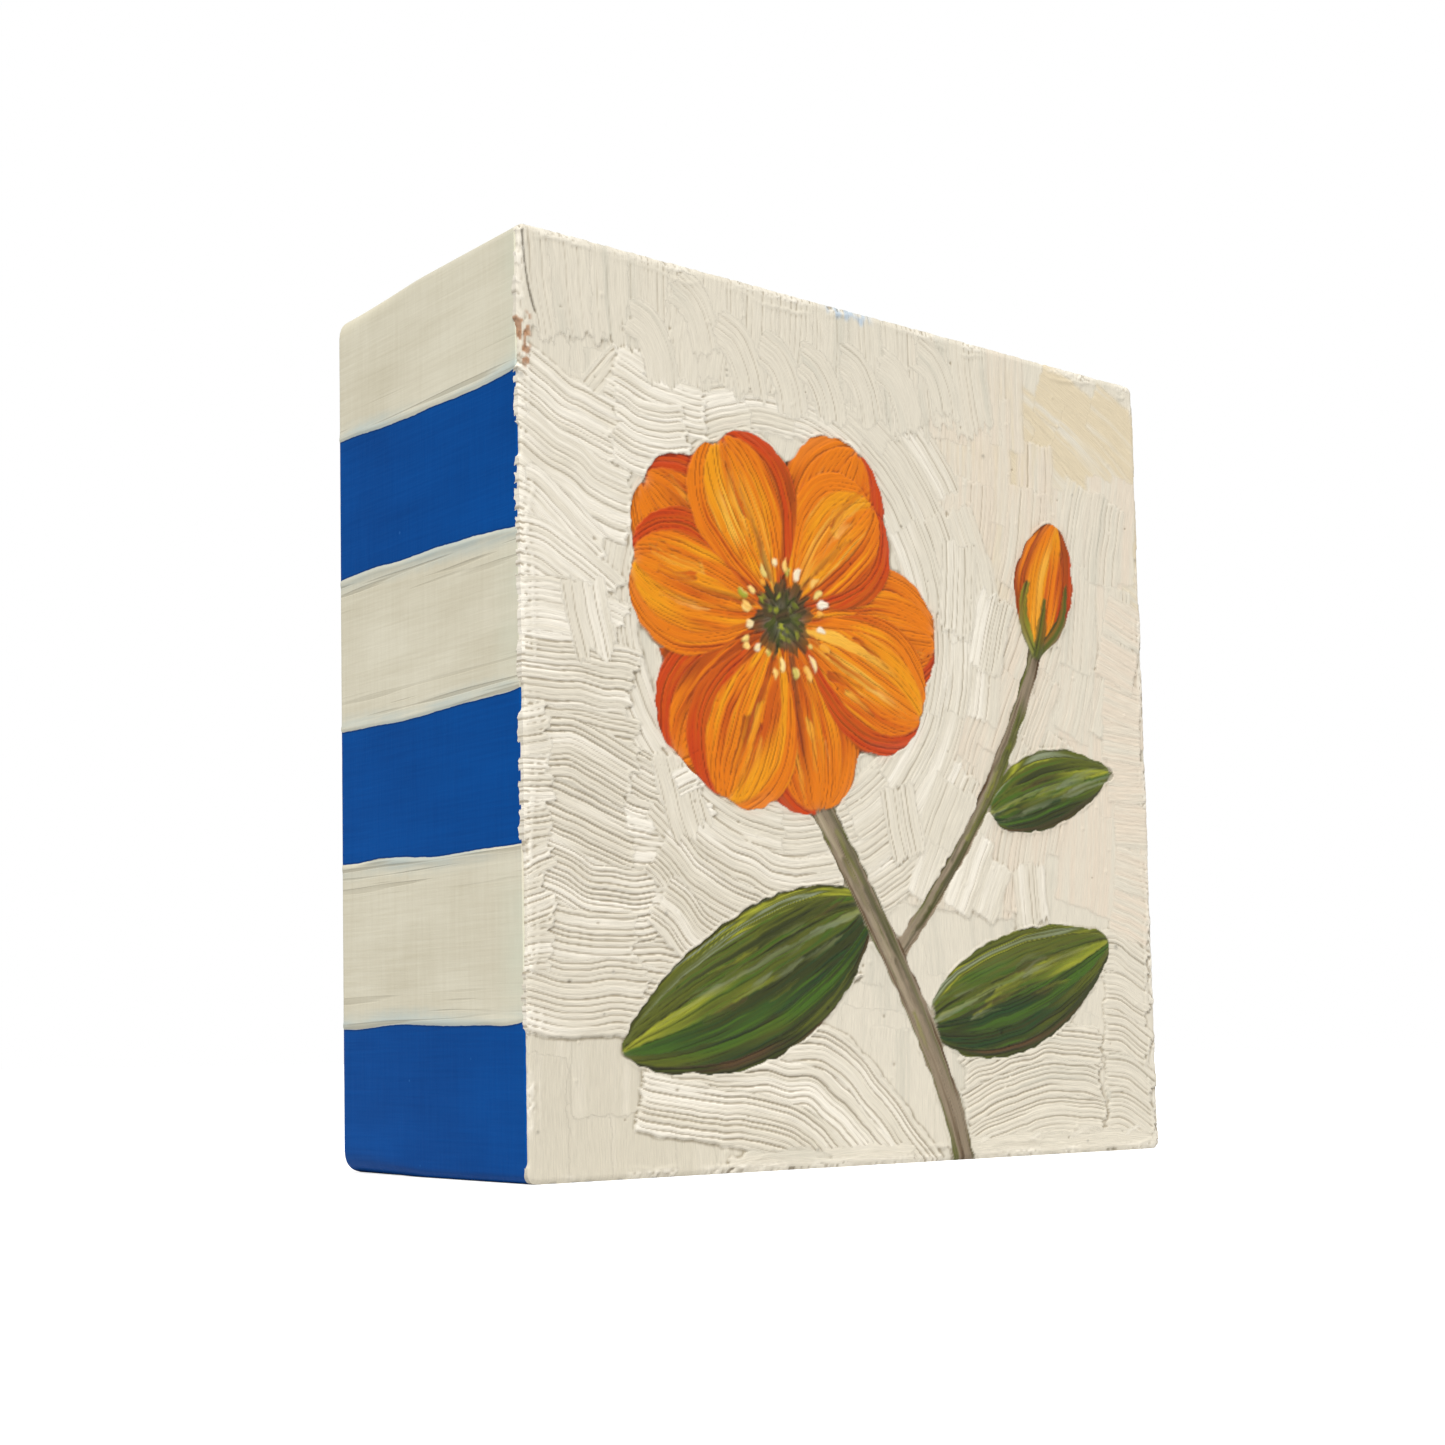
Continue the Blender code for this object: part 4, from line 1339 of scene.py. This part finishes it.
def join_seams(tile, normals, row, column):
    """Shades the tile smooth, and like its neighbours along the seams between them."""
    bpy.ops.object.shade_smooth_by_angle(angle=math.radians(FILM_SHARP_ANGLE))
    corners, starts, sizes = face_corners(tile)
    in_front = np.repeat(np.maximum.reduceat(corners, starts) < len(row), sizes)
    seam_rows = [last for _, last in TILE_ROWS.values()][:-1]
    seam_columns = [last for _, last in TILE_COLUMNS.values()][:-1]
    at_seam = np.isin(row, seam_rows) | np.isin(column, seam_columns)
    own = np.zeros((len(tile.data.vertices), 3))
    own[:len(row)][at_seam] = normals[row, column][at_seam]
    chosen = np.where(in_front[:, None], own[corners], 0.0)
    tile.data.normals_split_custom_set(chosen.tolist())


def side_edges(side):
    """The stripes' edges along one side, counted from the side's own start, front and back."""
    edges = LEVEL_STRIPE_EDGES if side % 2 == 0 else UPRIGHT_STRIPE_EDGES
    if side < 2:
        return edges
    return [(SIZE - front, SIZE - back) for front, back in reversed(edges)]


def edge_lines(side, share):
    """Where each edge of a side's stripes runs, at a share of the way to the back."""
    lines = []
    for which, (front, back) in enumerate(side_edges(side)):
        wave = np.sin(5.1 * share + 2.1 * which) + 0.5 * np.sin(11.0 * share + which)
        tremble = 0.22 * sway(share * 9 + 31 * side + 7 * which, 3.0)
        line = front + (back - front) * share + STRIPE_WOBBLE * wave + tremble
        if side % 2 == 1 and which % 2 == 0:
            curl = FRONT_CURL * np.exp(-share * DEPTH / FRONT_CURL_REACH)
            line = line + (curl if side == 1 else -curl)
        lines.append(line)
    return lines


def along_stripes(side, start, share):
    """Each row's place, moved with the stripes' edges, and how far inside blue it lies."""
    edges = edge_lines(side, share)
    first = [front for front, _ in side_edges(side)]
    still = np.zeros_like(share)
    knots = [0.0, *first, SIZE]
    shifts = [still, *(line - edge for line, edge in zip(edges, first)), still]
    place = start.copy()
    for index in range(len(knots) - 1):
        here = (start >= knots[index]) & (start < knots[index + 1])
        part = (start - knots[index]) / (knots[index + 1] - knots[index])
        moved = start + shifts[index] * (1 - part) + shifts[index + 1] * part
        place = np.where(here, moved, place)
    bounds = [still - 40.0, *edges, still + SIZE + 40.0]
    inside = still
    for index in range(len(bounds) - 1):
        is_blue = (index % 2 == 0) == (side < 2)
        reach = np.minimum(place - bounds[index], bounds[index + 1] - place)
        inside = np.where(reach >= 0, reach if is_blue else -reach, inside)
    return place, inside


def coat_rows():
    """Rows round the outline as (side, place along it, turn), closer by the stripes' edges.

    The sides are counted from the base, anticlockwise as seen from the front. turn is 0 on
    the flat and runs to 1 round the corner at a side's end.
    """
    rows = []
    for side in range(4):
        place = CORNER_RADIUS
        while place < SIZE - CORNER_RADIUS:
            rows.append((side, place, 0.0))
            gap = min(abs(place - front) for front, _ in side_edges(side))
            place += COAT_FINE_ROW + (COAT_ROW - COAT_FINE_ROW) * float(ease(gap, 0.3, 1.9))
        for step in range(CORNER_STEPS):
            rows.append((side, SIZE - CORNER_RADIUS, step / CORNER_STEPS))
    return np.array(rows)


def coat_levels():
    """Where the coat's rows lie from front to back, and how far each is tucked in."""
    turn = np.linspace(0, math.pi / 2, RIM_STEPS)
    back_rim = BACK_Y - BACK_EASING * (1 - np.sin(turn))
    middle = np.linspace(COAT_EDGE_Y + 0.3, back_rim[0] - 0.5, COAT_DEPTH_ROWS)
    levels = np.concatenate([[COAT_EDGE_Y, COAT_EDGE_Y + 0.08], middle, back_rim])
    tuck = np.zeros(len(levels))
    tuck[0] = 0.12
    tuck[-RIM_STEPS:] = 0.5 * BACK_EASING * (1 - np.cos(turn))
    return levels, tuck


def coat_places(side, start, turn, y, tuck):
    """The coat's points round all four sides, and how far inside blue each one lies."""
    share = np.clip((y - FRONT_Y) / DEPTH, 0.0, 1.0)
    place, stripe = np.empty_like(start), np.empty_like(start)
    for each in range(4):
        here = side == each
        place[here], stripe[here] = along_stripes(each, start[here], share[here])
    on_cream = np.interp(-stripe, [0.0, 0.22, 0.45, 0.95], [0.0, 0.8, 1.0, 0.0], left=0.0)
    swelling = 0.35 + 0.65 * noise(y / 3.7 + side * 17, start / 9)
    rise = BEAD_HEIGHT * on_cream * swelling * (side > 0)
    rise += 0.012 * noise(place / 0.6 + side * 40, y / 14) + 0.010 * noise(place / 2.3 + side * 9, y / 9)
    from_corner = CORNER_RADIUS - COAT_SUNK + rise - tuck
    along = np.where(turn > 0, FLAT, place - HALF)
    facing = side * math.pi / 2
    angle = facing + turn * math.pi / 2
    x = np.cos(facing) * along + np.sin(facing) * FLAT + from_corner * np.sin(angle)
    z = np.sin(facing) * along - np.cos(facing) * FLAT - from_corner * np.cos(angle)
    x, z = round_back_corners(x, z, share)
    return np.stack([x, y, np.maximum(z + HALF, 0.0)], axis=-1), stripe


def round_back_corners(x, z, share):
    """Draws the long edges in towards the back, where they are sanded rounder."""
    reach = BACK_CORNER_RADIUS * ease(share, 0.25, 1.0)
    into_corner = np.abs(x) + np.abs(z) - (SIZE - reach)
    # the front part has no reach, and a tiny one there keeps ease from dividing by nothing
    pulled = 0.5 * reach * ease(into_corner, 0.0, np.maximum(reach, 1e-9)) * BACK_CORNER_DRAW
    return x - np.sign(x) * pulled, z - np.sign(z) * pulled


def striped_coat(finish):
    """One painted coat round all four sides, thin, with a bead along each stripe's edge."""
    rows = coat_rows()
    levels, tuck = coat_levels()
    around, deep = len(rows), len(levels) - 1
    bpy.ops.mesh.primitive_grid_add(x_subdivisions=around, y_subdivisions=deep, size=1.0)
    coat = bpy.context.object
    coat.name = coat.data.name = "striped_coat"
    flat = vertices_of(coat)
    number = np.rint((flat[:, 0] + 0.5) * around).astype(int) % around
    level = np.rint((flat[:, 1] + 0.5) * deep).astype(int)
    places, stripe = coat_places(*rows[number].T, levels[level], tuck[level])
    place_vertices(coat, places)
    add_attribute(coat, "stripe", "FLOAT", "value", stripe)
    with editing("SELECT"):
        bpy.ops.mesh.remove_doubles(threshold=0.001)
    first_inner = line_coat(coat)
    face_outwards(coat)
    place_vertices(coat, vertices_of(coat) * MM)
    bpy.ops.object.shade_smooth_by_angle(angle=math.radians(COAT_SHARP_ANGLE))
    lay_out_coat(coat, first_inner)
    coat.data.materials.append(finish)
    return coat


def line_coat(coat):
    """Gives the coat its thickness: both borders turned in, and a plain inner wall."""
    fresh, places = extrude_border(coat)
    x, z = places[fresh, 0], places[fresh, 2] - HALF
    held_x, held_z = on_flat(x), on_flat(z)
    distance = np.hypot(x - held_x, z - held_z)
    share = (distance - COAT_FILM + COAT_CLEARANCE) / distance
    places[fresh, 0] = held_x + (x - held_x) * share
    places[fresh, 2] = HALF + held_z + (z - held_z) * share
    place_vertices(coat, places)
    with editing("DESELECT"):
        bpy.ops.mesh.select_non_manifold()
        bpy.ops.mesh.bridge_edge_loops()
    return fresh[0]


def lay_out_coat(coat, first_inner):
    """Lays out one strip for each side, with the hidden inner wall above it."""
    places = vertices_of(coat) / MM

    # how far round the outline each point lies
    x, z = places[:, 0], places[:, 2] - HALF
    held_x, held_z = on_flat(x), on_flat(z)
    turned = np.arctan2(x - held_x, -(z - held_z)) / (math.pi / 2)
    side = np.floor(np.round(turned, 4) + 1e-6)
    run = np.choose((side % 4).astype(int), (held_x, held_z, -held_x, -held_z)) + FLAT
    bend = turned - side
    flat_run, corner_run = 2 * FLAT, 2.0
    quarter = flat_run + corner_run
    around = (side % 4) * quarter + np.where(bend > 1e-3, flat_run + corner_run * bend, run)

    # the faces that close the ring go past its end, so that none is stretched all the way back
    corners, starts, sizes = face_corners(coat)
    lowest = np.repeat(np.minimum.reduceat(around[corners], starts), sizes)
    highest = np.repeat(np.maximum.reduceat(around[corners], starts), sizes)
    wraps = (highest - lowest > 2 * quarter) & (around[corners] < 2 * quarter)
    placed = around[corners] + np.where(wraps, 4 * quarter, 0.0)
    first = np.repeat(np.minimum.reduceat(placed, starts), sizes)
    strip = np.floor(first / quarter + 1e-6)

    # up each strip by depth, with the turned rims folded out and the inner wall above
    depth = (places[:, 1] - FRONT_Y) / DEPTH
    inner = np.arange(len(places)) >= first_inner
    is_inner = np.repeat(np.minimum.reduceat(inner[corners].astype(int), starts) == 1, sizes)
    folded = np.where(inner, np.where(depth < 0.5, -0.02, 1.02), depth)[corners]
    up = np.where(is_inner, 0.222 + 0.015 * depth[corners], 0.012 + 0.2 * folded)
    across = 0.01 + 0.96 * (placed - strip * quarter) / quarter
    add_layout(coat, np.stack([across, (strip % 4) * 0.25 + up], axis=-1))


def bevel(piece, name, limit, width, segments, angle=0.0):
    """Rounds off edges, those with a weight or those sharper than an angle in degrees."""
    easing = piece.modifiers.new(name, "BEVEL")
    easing.limit_method = limit
    easing.angle_limit = math.radians(angle)
    easing.width = width * MM
    easing.segments = segments
    bpy.ops.object.modifier_apply(modifier=easing.name)


def wood_piece(name, low, high, finish, corner_radius):
    """A block of wood between two corners, with its edges sanded off."""
    low, high = Vector(low) * MM, Vector(high) * MM
    bpy.ops.mesh.primitive_cube_add(size=1.0, location=(low + high) / 2, scale=high - low)
    piece = bpy.context.object
    piece.name = piece.data.name = name
    bpy.ops.object.transform_apply(location=True, rotation=True, scale=True)
    if corner_radius:
        weights = piece.data.attributes.new("bevel_weight_edge", "FLOAT", "EDGE")
        reach = (HALF - COAT_FILM) * MM - 1e-5
        for edge in piece.data.edges:
            start, end = (piece.data.vertices[index].co for index in edge.vertices)
            runs_back = abs(start.x - end.x) + abs(start.z - end.z) < 1e-6
            at_corner = abs(start.x) > reach and abs(start.z - HALF * MM) > reach
            weights.data[edge.index].value = 1.0 if runs_back and at_corner else 0.0
        bevel(piece, "outer corners", "WEIGHT", corner_radius, segments=6)
    bevel(piece, "sanded edges", "ANGLE", SANDED_EDGE, segments=3, angle=40)
    bpy.ops.object.shade_smooth_by_angle(angle=math.radians(WOOD_SHARP_ANGLE))
    piece.data.materials.append(finish)
    return piece


def settle(piece, slot, *nodes):
    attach(piece, "root")
    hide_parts(*nodes)


def build_front():
    film = paint_front()
    points = front_surface(film)
    normals = smooth_normals(points)
    finish = oil_finish()
    for level, rows in TILE_ROWS.items():
        for side, columns in TILE_COLUMNS.items():
            tile = film_tile(f"oil_film_{level}_{side}", film, points, normals, finish, columns, rows)
            settle(tile, "oil_paint", "oil_layer")


def build_sides():
    coat = striped_coat(striped_finish())
    settle(coat, "striped_paint", "coat_left", "coat_right", "coat_top", "coat_bottom")


def build_wood():
    """The face panel and its cradle, each at its true size, meeting face to face."""
    outer = HALF - COAT_FILM
    inner = outer - STRIP_THICKNESS
    base, top = HALF - outer, HALF + outer
    panel = wood_piece("plywood_face", (-outer, FILM_BACK_Y, base), (outer, PANEL_BACK_Y, top),
                       birch_finish(), CORNER_RADIUS - COAT_FILM)
    settle(panel, "birch_plywood", "face_panel")
    for name, (x0, x1), (z0, z1), scales, seed, corner_radius in (
        ("left", (-outer, -inner), (base, top), UPRIGHT_GRAIN, 0.013, PINE_CORNER_RADIUS),
        ("right", (inner, outer), (base, top), UPRIGHT_GRAIN, 0.039, PINE_CORNER_RADIUS),
        ("bottom", (-inner, inner), (base, HALF - inner), LEVEL_GRAIN, 0.051, 0.0),
        ("top", (-inner, inner), (HALF + inner, top), LEVEL_GRAIN, 0.085, 0.0),
    ):
        finish = pine_finish(f"pine_{name}", scales, seed)
        low, high = (x0, PANEL_BACK_Y, z0), (x1, BACK_Y, z1)
        strip = wood_piece(f"pine_strip_{name}", low, high, finish, corner_radius)
        settle(strip, "pine", f"cradle_{name}")


def camera_only(tree, unseen, seen, socket):
    """Gives a strength one value for the camera and another for the light in the room."""
    rays = tree.nodes.new("ShaderNodeLightPath")
    level = tree.nodes.new("ShaderNodeMapRange")
    level.inputs["To Min"].default_value = unseen
    level.inputs["To Max"].default_value = seen
    tree.links.new(rays.outputs["Is Camera Ray"], level.inputs["Value"])
    tree.links.new(level.outputs["Result"], socket)


def build_studio():
    """A plain pale floor, an even pale room and soft light from above the painted front."""
    bpy.ops.mesh.primitive_plane_add(size=FLOOR_SIZE, location=(0, 0, 0))
    floor = bpy.context.object
    floor.name = floor.data.name = "floor"
    finish = Finish("pale_floor")
    finish.feed(finish.shader.inputs["Base Color"], (FLOOR_PALENESS,) * 3)
    finish.feed(finish.shader.inputs["Roughness"], 0.9)
    finish.feed(finish.shader.inputs["Specular IOR Level"], 0.0)
    finish.feed(finish.shader.inputs["Emission Strength"], FLOOR_GLOW)
    camera_only(finish.tree, 0.0, 1.0, finish.shader.inputs["Emission Color"])
    floor.data.materials.append(finish.material)
    world = bpy.data.worlds.new("pale_room")
    world.use_nodes = True
    background = world.node_tree.nodes["Background"]
    background.inputs["Color"].default_value = (1.0, 1.0, 1.0, 1.0)
    camera_only(world.node_tree, ROOM_LIGHT, 1.0, background.inputs["Strength"])
    bpy.context.scene.world = world
    bpy.ops.object.light_add(type="SUN", location=(-0.3, -0.4, 0.8))
    window = bpy.context.object
    window.name = window.data.name = "window_light"
    window.data.energy = WINDOW_LIGHT * math.pi
    window.data.angle = math.radians(WINDOW_SPREAD)
    window.rotation_euler = (-Vector(TOWARDS_WINDOW)).to_track_quat("-Z", "Y").to_euler()
    bpy.context.scene.view_settings.view_transform = "Standard"
    bpy.context.scene.view_settings.look = "None"


def build_camera():
    """The photograph's view, solved from the block's six visible corners."""
    yaw, pitch, roll = (math.radians(angle) for angle in (CAMERA_YAW, CAMERA_PITCH, CAMERA_ROLL))
    forward = Vector((math.sin(yaw) * math.cos(pitch), math.cos(yaw) * math.cos(pitch), math.sin(pitch)))
    right = forward.cross(Vector((0, 0, 1))).normalized()
    up = right.cross(forward)
    turned = math.cos(roll) * right + math.sin(roll) * up
    upright = -math.sin(roll) * right + math.cos(roll) * up
    data = bpy.data.cameras.new("camera")
    camera = bpy.data.objects.new("camera", data)
    bpy.context.scene.collection.objects.link(camera)
    turn = Matrix((turned, upright, -forward)).transposed().to_4x4()
    camera.matrix_world = Matrix.Translation(CAMERA_PLACE) @ turn
    data.sensor_width = SENSOR_MM
    data.lens = FOCAL_PIXELS * SENSOR_MM / IMAGE_PIXELS
    data.shift_x = (IMAGE_PIXELS / 2 - VIEW_CENTRE_X) / IMAGE_PIXELS
    data.shift_y = (VIEW_CENTRE_Y - IMAGE_PIXELS / 2) / IMAGE_PIXELS
    data.clip_start, data.clip_end = 0.01, 50.0
    bpy.context.scene.camera = camera


build_camera()
build_studio()
build_front()
build_sides()
build_wood()
